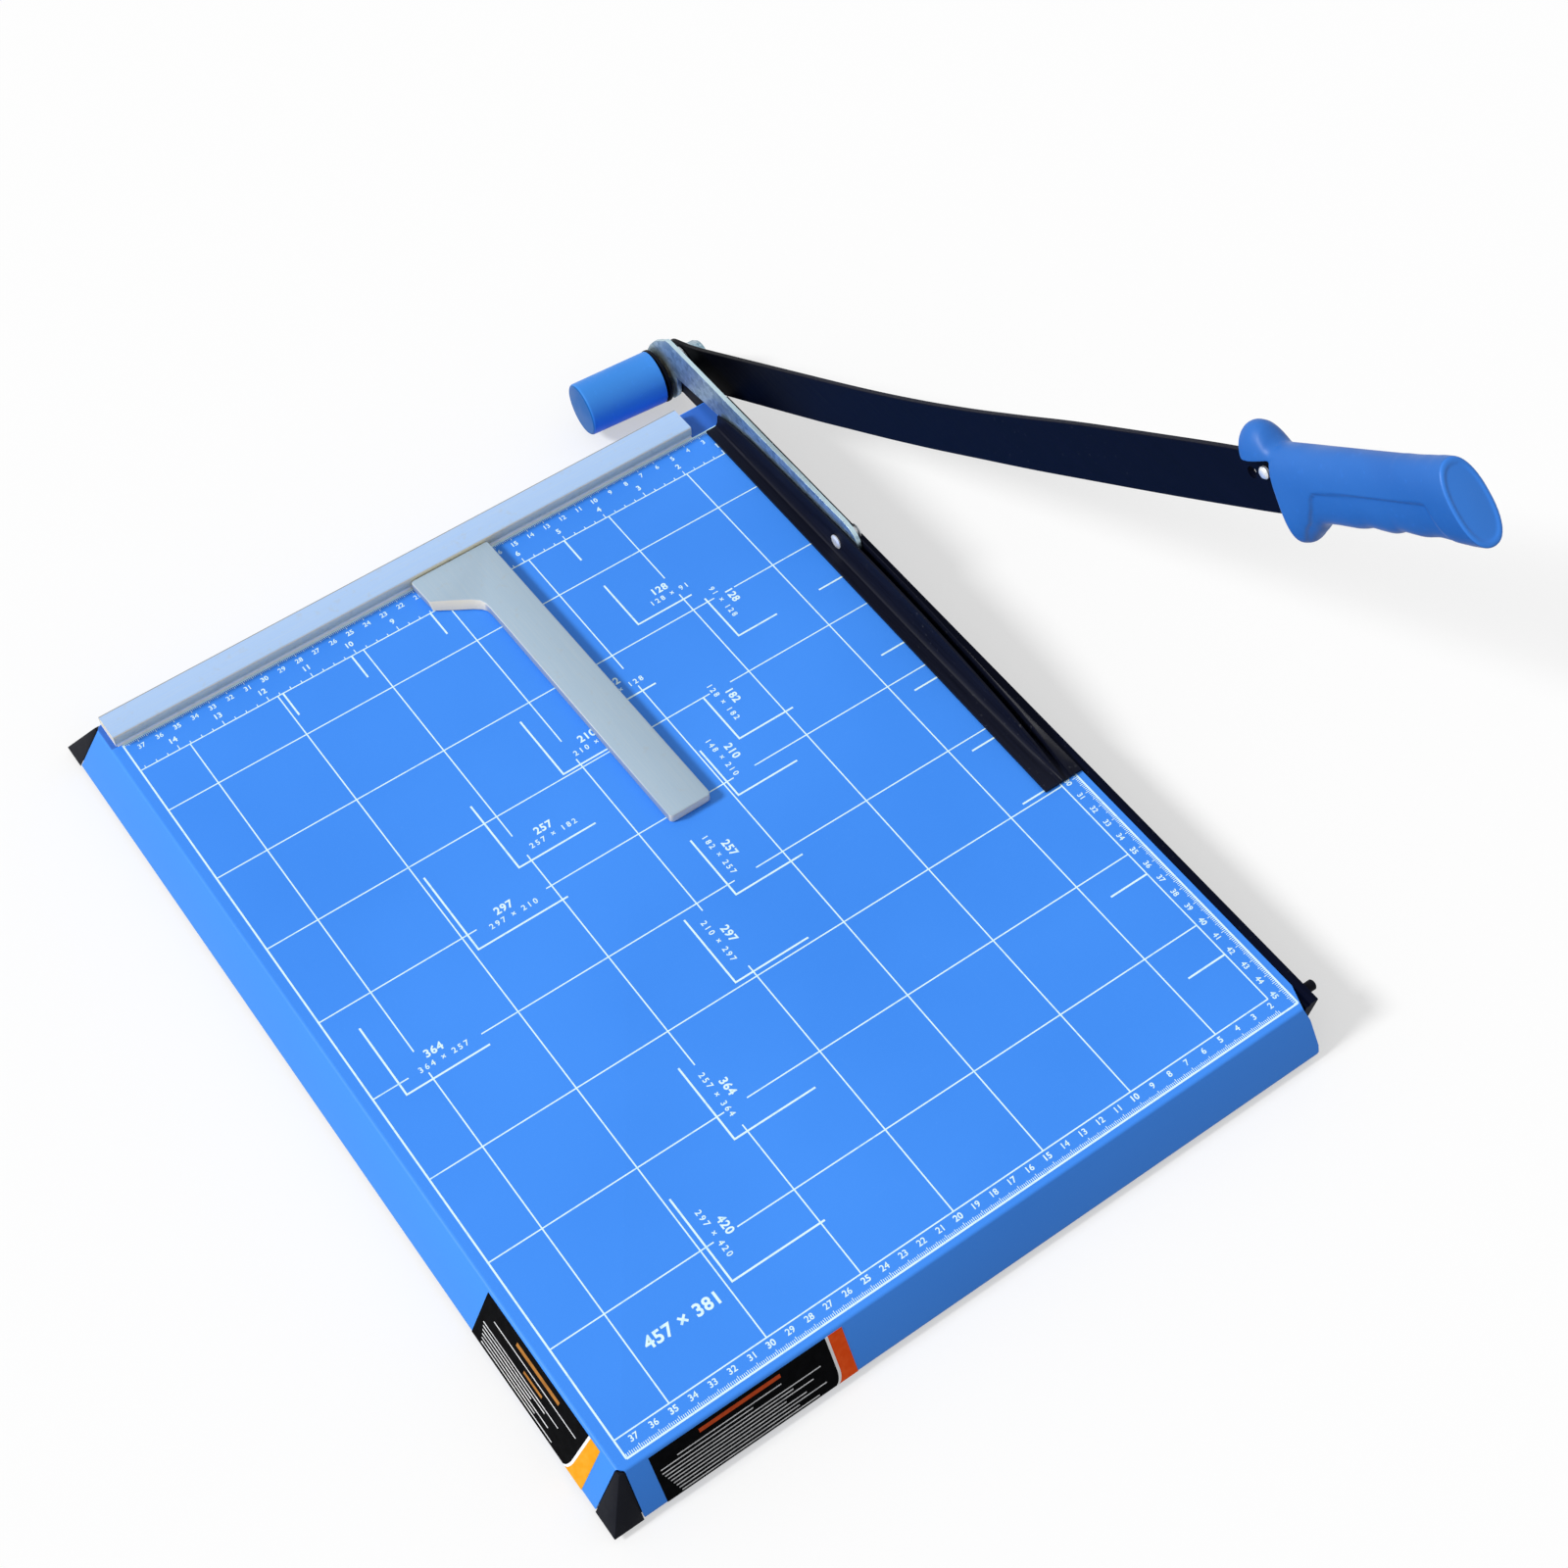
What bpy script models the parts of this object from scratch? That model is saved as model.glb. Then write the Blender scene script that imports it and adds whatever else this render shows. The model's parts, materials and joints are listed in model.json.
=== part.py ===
# Guillotine paper cutter: a folded steel board with a sabre blade, a press bar and a sliding paper stop.
#
# All pieces are drawn in one frame and then moved together. In that frame x = 0 is the cutting edge, with the
# board to its left, y = 0 is the front face of the fence, with the board in front of it, and z = 0 is the top
# of the board. Lengths are in metres.

import math

import bmesh
import bpy
import numpy as np
from mathutils import Vector

# Driving dimensions of the board
board_width = 0.384
cut_length = 0.4635
rear_deck = 0.018
tray_height = 0.027
side_flare = 0.0133
front_flare = 0.0128
rear_flare = 0.0196
sheet = 0.0012
fold_width = 0.0021
return_width = 0.020
corner_cut = 0.0028
corner_reach = 0.0155

# Clearances shared by the pieces
gap = 0.0003
running_gap = 0.0005
groove_clearance = 0.00075
overrun = 0.004

# The cutting edge and the bar that carries it
knife_land = 0.0046
knife_lip = 0.0008
knife_width = 0.0070
knife_height = 0.013
knife_relief = 0.005
knife_end = 0.004
beam_web = 0.0073
beam_depth = 0.024
beam_flange = 0.018
beam_flange_thickness = 0.003
neck_rise = 0.003
neck_depth = 0.0115

# The main pivot
pivot_back = 0.0577
pivot_drop = 0.0085
bolt_radius = 0.005
bolt_flats = 0.0180
bolt_head_height = 0.0068
lug_radius = 0.0133
washer_radius = 0.011
washer_thickness = 0.0020
brass_radius = 0.0095
brass_thickness = 0.0016
flange_radius = 0.0163
flange_thickness = 0.0017

# The spring and the cap over it
spring_length = 0.0296
spring_radius = 0.009
spring_wire = 0.001
spring_turns = 6
seat_radius = 0.0102
seat_thickness = 0.0012
nut_flats = 0.0155
nut_height = 0.007
bolt_tail = 0.002
cap_radius = 0.0152
cap_length = 0.0456
cap_wall = 0.0022
cap_round = 0.0018
cap_gap = 0.0017
cap_tilt = math.radians(-4.26)

# The blade
blade_thickness = 0.003
blade_width = 0.0255
blade_length = 0.522
blade_clearance = 0.0004
blade_raise = math.radians(31.5)
blade_grind = 0.006
blade_edge = 0.0003
tang_height = 0.0184
tang_length = 0.055
tang_shoulder = 0.004

# The handle
handle_beyond = 0.0135
handle_length = 0.1048
handle_depth = 0.0322
handle_width = 0.0176
handle_drop = 0.0308
handle_cant = math.radians(5.1)
handle_slant = 0.0108
grip_step = 0.0009
hood_length = 0.020
hood_rise = 0.0136
hood_foot = 0.0116

# The press arm and the clamp bar
arm_thickness = 0.0025
arm_reach = 0.1857
arm_top = 0.0239
clamp_start = 0.002
clamp_length = 0.2965
clamp_height = 0.0178
clamp_foot = 0.0199
clamp_taper = 0.0025
clamp_flange = 0.0018
clamp_wall = 0.0012
groove_floor = 0.0015
rivet_inset = 0.016
rivet_height = 0.0073
rivet_radius = 0.0026
rivet_head = 0.004
rivet_head_height = 0.0012

# The fence and the paper stop
fence_side = 0.033
fence_end = 0.004
fence_depth = 0.016
fence_height = 0.0082
fence_soft = 0.0008
track_height = 0.0022
track_depth = 0.0036
stop_place = 0.1627
stop_head = 0.0467
stop_reach = 0.2045
stop_thickness = 0.0054
stop_soft = 0.0005

# Small fasteners and feet
pin_radius = 0.0027
pin_reach = 0.0062
pin_inset = 0.0093
pin_root = 0.001
pin_drop = 0.0051
screw_radius = 0.0019
screw_head = 0.0036
screw_head_height = 0.0016
knife_screw_count = 4
knife_screw_inset = 0.045
stud_radius = 0.002
stud_rise = 0.0038
stud_head = 0.0038
blade_hole = 0.0027
blade_hole_rise = 0.0027
foot_radius = 0.008
foot_height = 0.003
foot_neck = 0.0034
foot_button = 0.0052
foot_button_height = 0.0018
foot_side_inset = 0.052
channel_crown = 0.034
channel_depth = 0.019
channel_wing = 0.010
channel_slope = 0.004
channel_metal = 0.0015

# How finely round forms are divided
round_steps = 36
small_steps = 20
corner_steps = 4
smooth_angle = math.radians(38)


def clear_scene():
    for old in list(bpy.data.objects):
        bpy.data.objects.remove(old, do_unlink=True)


def make_material(name, colour, roughness, metallic):
    material = bpy.data.materials.new(name)
    material.use_nodes = True
    shader = material.node_tree.nodes["Principled BSDF"]
    shader.inputs["Base Color"].default_value = (*colour, 1)
    shader.inputs["Roughness"].default_value = roughness
    shader.inputs["Metallic"].default_value = metallic
    material.diffuse_color = (*colour, 1)
    material.roughness = roughness
    material.metallic = metallic
    return material


def add_empty(name, place, parent=None, turn=0.0):
    empty = bpy.data.objects.new(name, None)
    bpy.context.scene.collection.objects.link(empty)
    empty.location = place
    empty.rotation_euler = (turn, 0, 0)
    empty.parent = parent
    return empty


# Makes an object of a solid's points and faces
def add_piece(name, solid, material, parent, place=(0, 0, 0), spin=0.0):
    points, faces = solid
    mesh = bpy.data.meshes.new(name)
    shape = bmesh.new()
    made = [shape.verts.new(tuple(point)) for point in points]
    for face in faces:
        shape.faces.new([made[index] for index in face])
    bmesh.ops.recalc_face_normals(shape, faces=shape.faces)
    shape.to_mesh(mesh)
    shape.free()
    mesh.shade_smooth()
    mesh.set_sharp_from_angle(angle=smooth_angle)
    piece = bpy.data.objects.new(name, mesh)
    bpy.context.scene.collection.objects.link(piece)
    piece.parent = parent
    piece.location = place
    piece.rotation_euler = (0, 0, spin)
    if material:
        mesh.materials.append(material)
    return piece


# Cuts a hidden helper out of a piece, or joins it on
def combine(piece, name, solid, operation="DIFFERENCE", place=None, parent=None):
    helper = add_piece(name, solid, None, parent or piece.parent, place or piece.location)
    helper.hide_render = True
    helper.display_type = "WIRE"
    change = piece.modifiers.new(name, "BOOLEAN")
    change.operation = operation
    change.object = helper
    return helper


def soften(piece, width, segments=2):
    bevel = piece.modifiers.new("soft edges", "BEVEL")
    bevel.width = width
    bevel.segments = segments
    bevel.limit_method = "ANGLE"
    bevel.angle_limit = smooth_angle


# Turns an outline into a solid between two places along an axis
def prism(outline, low, high, axis):
    def point(along, first, second):
        if axis == "X":
            return (along, first, second)
        if axis == "Y":
            return (first, along, second)
        return (first, second, along)

    count = len(outline)
    points = [point(low, a, b) for a, b in outline] + [point(high, a, b) for a, b in outline]
    faces = [list(range(count)), list(range(count, 2 * count))]
    for index in range(count):
        ahead = (index + 1) % count
        faces.append([index, ahead, count + ahead, count + index])
    return points, faces


# Joins rings of equally many points into a solid that is closed at both ends
def loft(rings):
    count = len(rings[0])
    points = [tuple(point) for ring in rings for point in ring]
    faces = [list(range(count)), list(range(len(points) - count, len(points)))]
    for ring in range(len(rings) - 1):
        for index in range(count):
            ahead = (index + 1) % count
            faces.append([
                ring * count + index,
                ring * count + ahead,
                (ring + 1) * count + ahead,
                (ring + 1) * count + index,
            ])
    return points, faces


# Turns a profile of (place along x, radius) round the x axis, with flat ends, or closed on itself as a ring
def turned(profile, steps=round_steps, hollow=False):
    points = []
    for along, radius in profile:
        for step in range(steps):
            angle = 2 * math.pi * step / steps
            points.append((along, radius * math.cos(angle), radius * math.sin(angle)))
    rows = [list(range(start, start + steps)) for start in range(0, len(points), steps)]
    pairs = list(zip(rows, rows[1:]))
    faces = [rows[0], rows[-1]]
    if hollow:
        pairs.append((rows[-1], rows[0]))
        faces = []
    for first, second in pairs:
        for step in range(steps):
            ahead = (step + 1) % steps
            faces.append([first[step], first[ahead], second[ahead], second[step]])
    return points, faces


def rod(low, high, radius, steps=small_steps):
    return turned([(low, radius), (high, radius)], steps)


def ring(low, high, inner, outer, steps=round_steps):
    return turned([(low, inner), (low, outer), (high, outer), (high, inner)], steps, hollow=True)


# The hole for a screw along x: its shank's bore, then a wider seat for its head out to the surface
def stepped_hole(low, seat_x, high):
    bore = screw_radius + gap
    seat = screw_head + gap
    return turned([(low, bore), (seat_x, bore), (seat_x, seat), (high, seat)], small_steps)


# Copies of a solid at several places, as one cutter
def repeated(solid, places):
    points = []
    faces = []
    for place in places:
        first = len(points)
        points += [tuple(Vector(point) + Vector(place)) for point in solid[0]]
        faces += [[first + index for index in face] for face in solid[1]]
    return points, faces


# The same solid with its x axis turned to z
def upright(solid):
    points, faces = solid
    return [(across, depth, along) for along, across, depth in points], faces


def box(low, high):
    outline = [(low[0], low[1]), (high[0], low[1]), (high[0], high[1]), (low[0], high[1])]
    return prism(outline, low[2], high[2], "Z")


# Points of a circle, from an angle on through a sweep
def arc(centre, radius, start, sweep, steps):
    return [
        (
            centre[0] + radius * math.cos(start + sweep * step / steps),
            centre[1] + radius * math.sin(start + sweep * step / steps),
        )
        for step in range(steps + 1)
    ]


# An outline of (point, radius) corners, each rounded where its radius isn't zero
def rounded(corners):
    outline = []
    for index, (point, radius) in enumerate(corners):
        if radius == 0:
            outline.append(tuple(point))
            continue
        here = Vector(point)
        back = (Vector(corners[index - 1][0]) - here).normalized()
        ahead = (Vector(corners[(index + 1) % len(corners)][0]) - here).normalized()
        half = back.angle(ahead) / 2
        centre = here + (back + ahead).normalized() * (radius / math.sin(half))
        first = here + back * (radius / math.tan(half)) - centre
        last = here + ahead * (radius / math.tan(half)) - centre
        start = math.atan2(first.y, first.x)
        turn = math.atan2(last.y, last.x) - start
        turn = (turn + math.pi) % (2 * math.pi) - math.pi
        outline += arc(centre, radius, start, turn, corner_steps)
    return outline


# A ring of points round a hexagon across x, kept inside a circle
def hexagon_ring(along, flats, limit):
    points = []
    for step in range(round_steps):
        angle = 2 * math.pi * step / round_steps
        off = (angle + math.pi / 6) % (math.pi / 3) - math.pi / 6
        radius = min(flats / 2 / math.cos(off), limit)
        points.append((along, radius * math.cos(angle), radius * math.sin(angle)))
    return points


clear_scene()

board_blue = make_material("board_blue", (0.10, 0.30, 0.86), 0.38, 0.0)
moulded_blue = make_material("moulded_blue", (0.05, 0.19, 0.68), 0.42, 0.0)
black_paint = make_material("black_paint", (0.012, 0.012, 0.016), 0.35, 0.0)
black_steel = make_material("black_steel", (0.015, 0.017, 0.024), 0.30, 0.6)
zinc_steel = make_material("zinc_steel", (0.55, 0.60, 0.66), 0.32, 1.0)
brass = make_material("brass", (0.55, 0.38, 0.22), 0.35, 1.0)
fence_plastic = make_material("fence_plastic", (0.52, 0.64, 0.85), 0.45, 0.0)
stop_plastic = make_material("stop_plastic", (0.42, 0.54, 0.62), 0.5, 0.0)
black_plastic = make_material("black_plastic", (0.012, 0.012, 0.014), 0.5, 0.0)
black_rubber = make_material("black_rubber", (0.015, 0.015, 0.015), 0.8, 0.0)

# Places that several pieces share, from the blade leftwards
blade_left = blade_clearance
blade_right = blade_left + blade_thickness
blade_middle = blade_left + blade_thickness / 2
deck_right = -knife_land - gap
web_right = -knife_relief
web_left = web_right - beam_web
arm_right = web_left - running_gap
arm_left = arm_right - arm_thickness
groove_right = arm_right + groove_clearance
groove_left = arm_left - groove_clearance
brass_right = arm_left - gap
brass_left = brass_right - brass_thickness
flange_right = brass_left - gap
flange_left = flange_right - flange_thickness
bolt_bore = bolt_radius + gap
tray_left = -board_width
handle_place = blade_length + handle_beyond
tray_front = -cut_length
under_deck = -sheet - gap
pivot = (0, pivot_back, -pivot_drop)
rivet_back = arm_reach - pivot_back - rivet_inset
rivet = ((arm_left + arm_right) / 2, -rivet_back, rivet_height)

# The joints: each moving piece hangs on an empty on its joint's axis
root = add_empty("cutter", (0, 0, 0))
blade_joint = add_empty("blade_joint", pivot, root, -blade_raise)
handle_frame = add_empty("handle_frame", (0, 0, 0), blade_joint, -handle_cant)
arm_joint = add_empty("arm_joint", pivot, root)
clamp_joint = add_empty("clamp_joint", Vector(rivet) - Vector(pivot), arm_joint)
stop_joint = add_empty("stop_joint", (-stop_place, 0, 0), root)
arm_home = -Vector(pivot)
clamp_home = -Vector(rivet)


# The tray: a flat deck with three walls folded down and out, each with a return folded in under it
def make_tray():
    top_fold_share = 0.58
    corner_back_share = 0.98
    corner_in_share = 0.94
    knee_share = 0.28
    knee_in_share = 0.38
    side_share = 0.82
    side_in_share = 0.11
    bend_share = 0.94
    bend_in_share = 0.26
    foot_in_share = 0.61
    foot = -tray_height
    left_low = tray_left - side_flare
    front_low = tray_front - front_flare
    rear_low = rear_deck + rear_flare
    rear_right = web_left - running_gap

    def front_edge(share, in_share):
        return (deck_right - knife_land * in_share, tray_front - front_flare * share, foot * share)

    points = {
        "front_left": (tray_left + corner_cut, tray_front, 0),
        "left_front": (tray_left, tray_front + corner_cut, 0),
        "left_rear": (tray_left, rear_deck - corner_cut, 0),
        "rear_left": (tray_left + corner_cut, rear_deck, 0),
        "rear_right": (rear_right, rear_deck, 0),
        "deck_rear": (deck_right, rear_deck, 0),
        "deck_front": (deck_right, tray_front + front_flare * corner_back_share, 0),
        "front_right": front_edge(0, corner_in_share),
        "front_knee": front_edge(knee_share, knee_in_share),
        "front_side": front_edge(side_share, side_in_share),
        "front_bend": front_edge(bend_share, bend_in_share),
        "front_foot": front_edge(1, foot_in_share),
        "left_foot_front": (left_low, front_low + corner_reach, foot),
        "left_foot_rear": (left_low, rear_low - corner_reach, foot),
        "front_foot_left": (left_low + corner_reach, front_low, foot),
        "rear_foot_left": (left_low + corner_reach, rear_low, foot),
        "rear_foot_right": (rear_right, rear_low, foot),
        "left_turn_front": (left_low + return_width, front_low + corner_reach + return_width, foot),
        "left_turn_rear": (left_low + return_width, rear_low - corner_reach - return_width, foot),
        "front_turn_left": (left_low + corner_reach + return_width, front_low + return_width, foot),
        "front_turn_right": (deck_right - knife_land * foot_in_share, front_low + return_width, foot),
        "rear_turn_left": (left_low + corner_reach + return_width, rear_low - return_width, foot),
        "rear_turn_right": (rear_right, rear_low - return_width, foot),
    }
    order = {name: index for index, name in enumerate(points)}
    outlines = [
        "front_left front_right deck_front deck_rear rear_right rear_left left_rear left_front",
        "left_front left_rear left_foot_rear left_foot_front",
        "left_foot_front left_foot_rear left_turn_rear left_turn_front",
        "front_left front_foot_left front_foot front_bend front_side front_knee front_right",
        "front_foot_left front_turn_left front_turn_right front_foot",
        "rear_left rear_right rear_foot_right rear_foot_left",
        "rear_foot_left rear_foot_right rear_turn_right rear_turn_left",
    ]
    faces = [[order[name] for name in outline.split()] for outline in outlines]
    made = add_piece("base_tray", (list(points.values()), faces), board_blue, root)
    if made.data.polygons[0].normal.z < 0:
        made.data.flip_normals()
    weights = made.data.attributes.new("bevel_weight_edge", "FLOAT", "EDGE")
    shared = {}
    for polygon in made.data.polygons:
        for key in polygon.edge_keys:
            shared[key] = shared.get(key, 0) + 1
    for edge in made.data.edges:
        if shared[tuple(sorted(edge.vertices))] == 2:
            height = made.data.vertices[edge.vertices[0]].co.z
            weights.data[edge.index].value = 1 if height < 0 else top_fold_share
    folds = made.modifiers.new("folds", "BEVEL")
    folds.width = fold_width
    folds.segments = 3
    folds.limit_method = "WEIGHT"
    skin = made.modifiers.new("sheet", "SOLIDIFY")
    skin.thickness = sheet
    skin.offset = -1
    skin.use_even_offset = True
    return made


tray = make_tray()


# A black plastic shell that closes a left corner, with a lip behind the sheet. side is -1 in front, 1 behind
def make_corner_cap(name, side, edge_y, flare):
    cap_skin = 0.0016
    lip_reach = 0.0022
    top_drop = 0.0008
    ridge_soft = 0.0003
    side_tilt = math.hypot(side_flare, tray_height) / tray_height
    end_tilt = math.hypot(flare, tray_height) / tray_height

    # A triangle across the corner at a height, with its legs a depth behind the outer faces
    def slice_at(z, depth, past):
        share = -z / tray_height
        reach = corner_cut + (corner_reach - corner_cut) * share + past
        ridge_x = tray_left - side_flare * share
        ridge_y = edge_y + side * flare * share
        inner_x = ridge_x + depth * side_tilt
        inner_y = ridge_y - side * depth * end_tilt
        return [
            (inner_x, inner_y, z),
            (inner_x, ridge_y - side * reach, z),
            (ridge_x + reach, inner_y, z),
        ]

    behind = sheet + gap
    face = loft([slice_at(-top_drop, 0, -gap), slice_at(-tray_height, 0, -gap)])
    cap = add_piece(name, face, black_plastic, root)
    soften(cap, ridge_soft)
    lip_top = under_deck - top_drop
    lip_foot = behind + top_drop - tray_height
    lip = loft([slice_at(lip_top, behind, lip_reach), slice_at(lip_foot, behind, lip_reach)])
    combine(cap, name + "_lip", lip, "UNION")
    inside = behind + cap_skin
    wide = lip_reach + overrun
    pocket = loft([
        slice_at(lip_top - corner_cut, inside, wide),
        slice_at(-tray_height - overrun, inside, wide),
    ])
    combine(cap, name + "_pocket", pocket)


make_corner_cap("corner_cap_front_left", -1, tray_front, front_flare)
make_corner_cap("corner_cap_rear_left", 1, rear_deck, rear_flare)


# A pressed channel under the deck that keeps it flat
def make_channel(name, centre_y):
    foot = channel_crown / 2
    outline = []
    for depth, spread in ((0, 0), (channel_metal, channel_metal)):
        rise = under_deck - depth
        side = [
            (foot + channel_slope + channel_wing, rise),
            (foot + channel_slope + spread, rise),
            (foot + spread, rise - channel_depth),
        ]
        across = [(centre_y - y, z) for y, z in side] + [(centre_y + y, z) for y, z in side[::-1]]
        outline += across if depth == 0 else across[::-1]
    left = tray_left + fold_width + sheet
    solid = prism(outline, left, web_left - beam_flange - gap, "X")
    add_piece(name, solid, zinc_steel, root)


channel_place_shares = {"channel_front": 0.70, "channel_rear": 0.27}
for channel_name, place_share in channel_place_shares.items():
    make_channel(channel_name, -cut_length * place_share)


# A rubber foot with a neck through the tray's return and a button above it
def make_foot(name, x, y):
    chamfer_share = 0.1
    low = -tray_height - foot_height
    edge = foot_radius * chamfer_share
    over = sheet + gap - tray_height
    profile = [
        (low, foot_radius - edge),
        (low + edge, foot_radius),
        (-tray_height - gap, foot_radius),
        (-tray_height - gap, foot_neck),
        (over, foot_neck),
        (over, foot_button),
        (over + foot_button_height, foot_neck),
    ]
    add_piece(name, upright(turned(profile, small_steps)), black_rubber, root, (x, y, 0))
    hole = upright(rod(-tray_height - overrun, overrun - tray_height, foot_neck + gap))
    combine(tray, name + "_hole", hole, place=(x, y, 0))


foot_x = {"left": tray_left - side_flare + foot_side_inset, "right": deck_right - foot_side_inset}
foot_y = {
    "front": tray_front - front_flare + return_width / 2,
    "rear": rear_deck + rear_flare - return_width / 2,
}
for end, y in foot_y.items():
    for side, x in foot_x.items():
        make_foot("foot_" + end + "_" + side, x, y)


# The angle bar along the right side, with a flange under the deck and a seat for the counter knife
def make_side_beam():
    front_inset = 0.0015
    flange_front = 0.024
    flange_rear = 0.018
    corners = [
        (tray_front + front_inset, -beam_depth),
        (tray_front + front_inset, under_deck),
        (rear_deck, under_deck),
        (rear_deck, -beam_depth),
    ]
    beam = add_piece("side_beam", prism(corners, web_left, web_right, "X"), black_paint, root)
    flange = box(
        (web_left - beam_flange, tray_front + flange_front, under_deck - gap - beam_flange_thickness),
        (web_left + overrun / 2, -flange_rear, under_deck - gap),
    )
    combine(beam, "beam_flange", flange, "UNION")
    seat = box(
        (-knife_width - gap, tray_front - overrun, -knife_height - gap),
        (overrun, rear_deck - knife_end + gap, overrun),
    )
    combine(beam, "knife_seat", seat)
    return beam


side_beam = make_side_beam()


# The neck welded to the bar's rear end, with the round lug that carries the pivot
def make_pivot_lug():
    lug_start = math.radians(120)
    lug_sweep = math.radians(-260)
    fillet_shares = ((0.32, 0.25), (0.5, 0))
    front = rear_deck + gap
    lug = arc((pivot_back, -pivot_drop), lug_radius, lug_start, lug_sweep, round_steps)
    end_y, end_z = lug[-1]
    fillet = [
        (end_y - lug_radius * back_share, -neck_depth + (end_z + neck_depth) * drop_share)
        for back_share, drop_share in fillet_shares
    ]
    outline = [(front, neck_rise)] + lug + fillet + [(front, -neck_depth)]
    made = add_piece("pivot_lug", prism(outline, web_left, web_right, "X"), black_paint, root)
    bore = rod(web_left - overrun, web_right + overrun, bolt_bore, round_steps)
    combine(made, "lug_bore", bore, place=pivot)


make_pivot_lug()


# The counter knife, with its top corner at the cutting edge and its outer face relieved below
def make_counter_knife():
    outline = [
        (0, 0),
        (0, -knife_lip),
        (-knife_relief, -knife_height),
        (-knife_width, -knife_height),
        (-knife_width, under_deck),
        (-knife_land, under_deck),
        (-knife_land, 0),
    ]
    bar = prism(outline, tray_front, rear_deck - knife_end, "Y")
    return add_piece("counter_knife", bar, black_steel, root)


counter_knife = make_counter_knife()


# The screws that hold the counter knife, in counterbores along its outer face
def make_knife_screws():
    drop_share = 0.57
    seat_share = 0.62
    reach_share = 0.6
    seat_x = -knife_width * seat_share
    end_x = web_right - beam_web * reach_share
    span = cut_length + rear_deck - knife_end - 2 * knife_screw_inset
    first_y = tray_front + knife_screw_inset
    step = span / (knife_screw_count - 1)
    places = [(0, first_y + step * index, -knife_height * drop_share) for index in range(knife_screw_count)]
    profile = [
        (end_x + gap, screw_radius),
        (seat_x + gap, screw_radius),
        (seat_x + gap, screw_head),
        (seat_x + gap + screw_head_height / 2, screw_head),
        (seat_x + gap + screw_head_height, screw_head - screw_head_height / 2),
    ]
    for index, place in enumerate(places):
        name = "knife_screw_" + str(index + 1)
        add_piece(name, turned(profile, small_steps), black_steel, root, place)
    holes = repeated(stepped_hole(end_x, seat_x, overrun), places)
    combine(counter_knife, "knife_screw_holes", holes)
    threads = repeated(rod(end_x, overrun, screw_radius + gap), places)
    combine(side_beam, "knife_screw_threads", threads)


make_knife_screws()


# The pin at the front of the cutting edge that the closed blade comes to rest on
def make_stop_pin():
    chamfer_share = 0.2
    edge = pin_radius * chamfer_share
    place = (0, tray_front + pin_inset, -pin_drop)
    profile = [
        (gap - knife_width + pin_root, pin_radius),
        (pin_reach - edge, pin_radius),
        (pin_reach, pin_radius - edge),
    ]
    add_piece("stop_pin", turned(profile, small_steps), black_steel, root, place)
    hole = rod(pin_root - knife_width, overrun, pin_radius + gap)
    combine(counter_knife, "stop_pin_hole", hole, place=place)


make_stop_pin()


# The bolt of the pivot, with a domed hexagon head on the right and its nut end on the left
def make_pivot_bolt():
    chamfer_share = 0.12
    dome_shares = ((0, 1.04), (0.06, 1.2), (0.72, 1.2), (0.9, 0.98), (1, 0.78))
    head = blade_right + gap + washer_thickness + gap
    tail = nut_left - bolt_tail
    edge = bolt_radius * chamfer_share
    rings = [
        hexagon_ring(tail, bolt_flats, bolt_radius - edge),
        hexagon_ring(tail + edge, bolt_flats, bolt_radius),
        hexagon_ring(head, bolt_flats, bolt_radius),
    ]
    for along_share, limit_share in dome_shares:
        along = head + bolt_head_height * along_share
        rings.append(hexagon_ring(along, bolt_flats, bolt_flats / 2 * limit_share))
    add_piece("pivot_bolt", loft(rings), zinc_steel, root, pivot)


spring_right = flange_left - gap
spring_left = spring_right - spring_length
seat_right = spring_left - gap
seat_left = seat_right - seat_thickness
nut_right = seat_left - gap
nut_left = nut_right - nut_height
make_pivot_bolt()


# The rings on the bolt, from the head leftwards
def make_washers():
    washer_left = blade_right + gap
    spacer_left = web_right + gap
    rings = (
        ("pivot_washer", washer_left, washer_left + washer_thickness, washer_radius, zinc_steel),
        ("pivot_spacer", spacer_left, blade_left - gap, brass_radius, zinc_steel),
        ("brass_washer", brass_left, brass_right, brass_radius, brass),
        ("flange_washer", flange_left, flange_right, flange_radius, black_paint),
        ("spring_seat", seat_left, seat_right, seat_radius, zinc_steel),
    )
    for name, low, high, outer, material in rings:
        add_piece(name, ring(low, high, bolt_bore, outer), material, root, pivot)
    nut = loft([
        hexagon_ring(nut_left, nut_flats, nut_flats / 2),
        hexagon_ring(nut_left + screw_head_height / 2, nut_flats, nut_flats),
        hexagon_ring(nut_right - screw_head_height / 2, nut_flats, nut_flats),
        hexagon_ring(nut_right, nut_flats, nut_flats / 2),
    ])
    made = add_piece("pivot_nut", nut, zinc_steel, root, pivot)
    bore = rod(nut_left - overrun, nut_right + overrun, bolt_bore, round_steps)
    combine(made, "nut_bore", bore)


make_washers()


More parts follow.
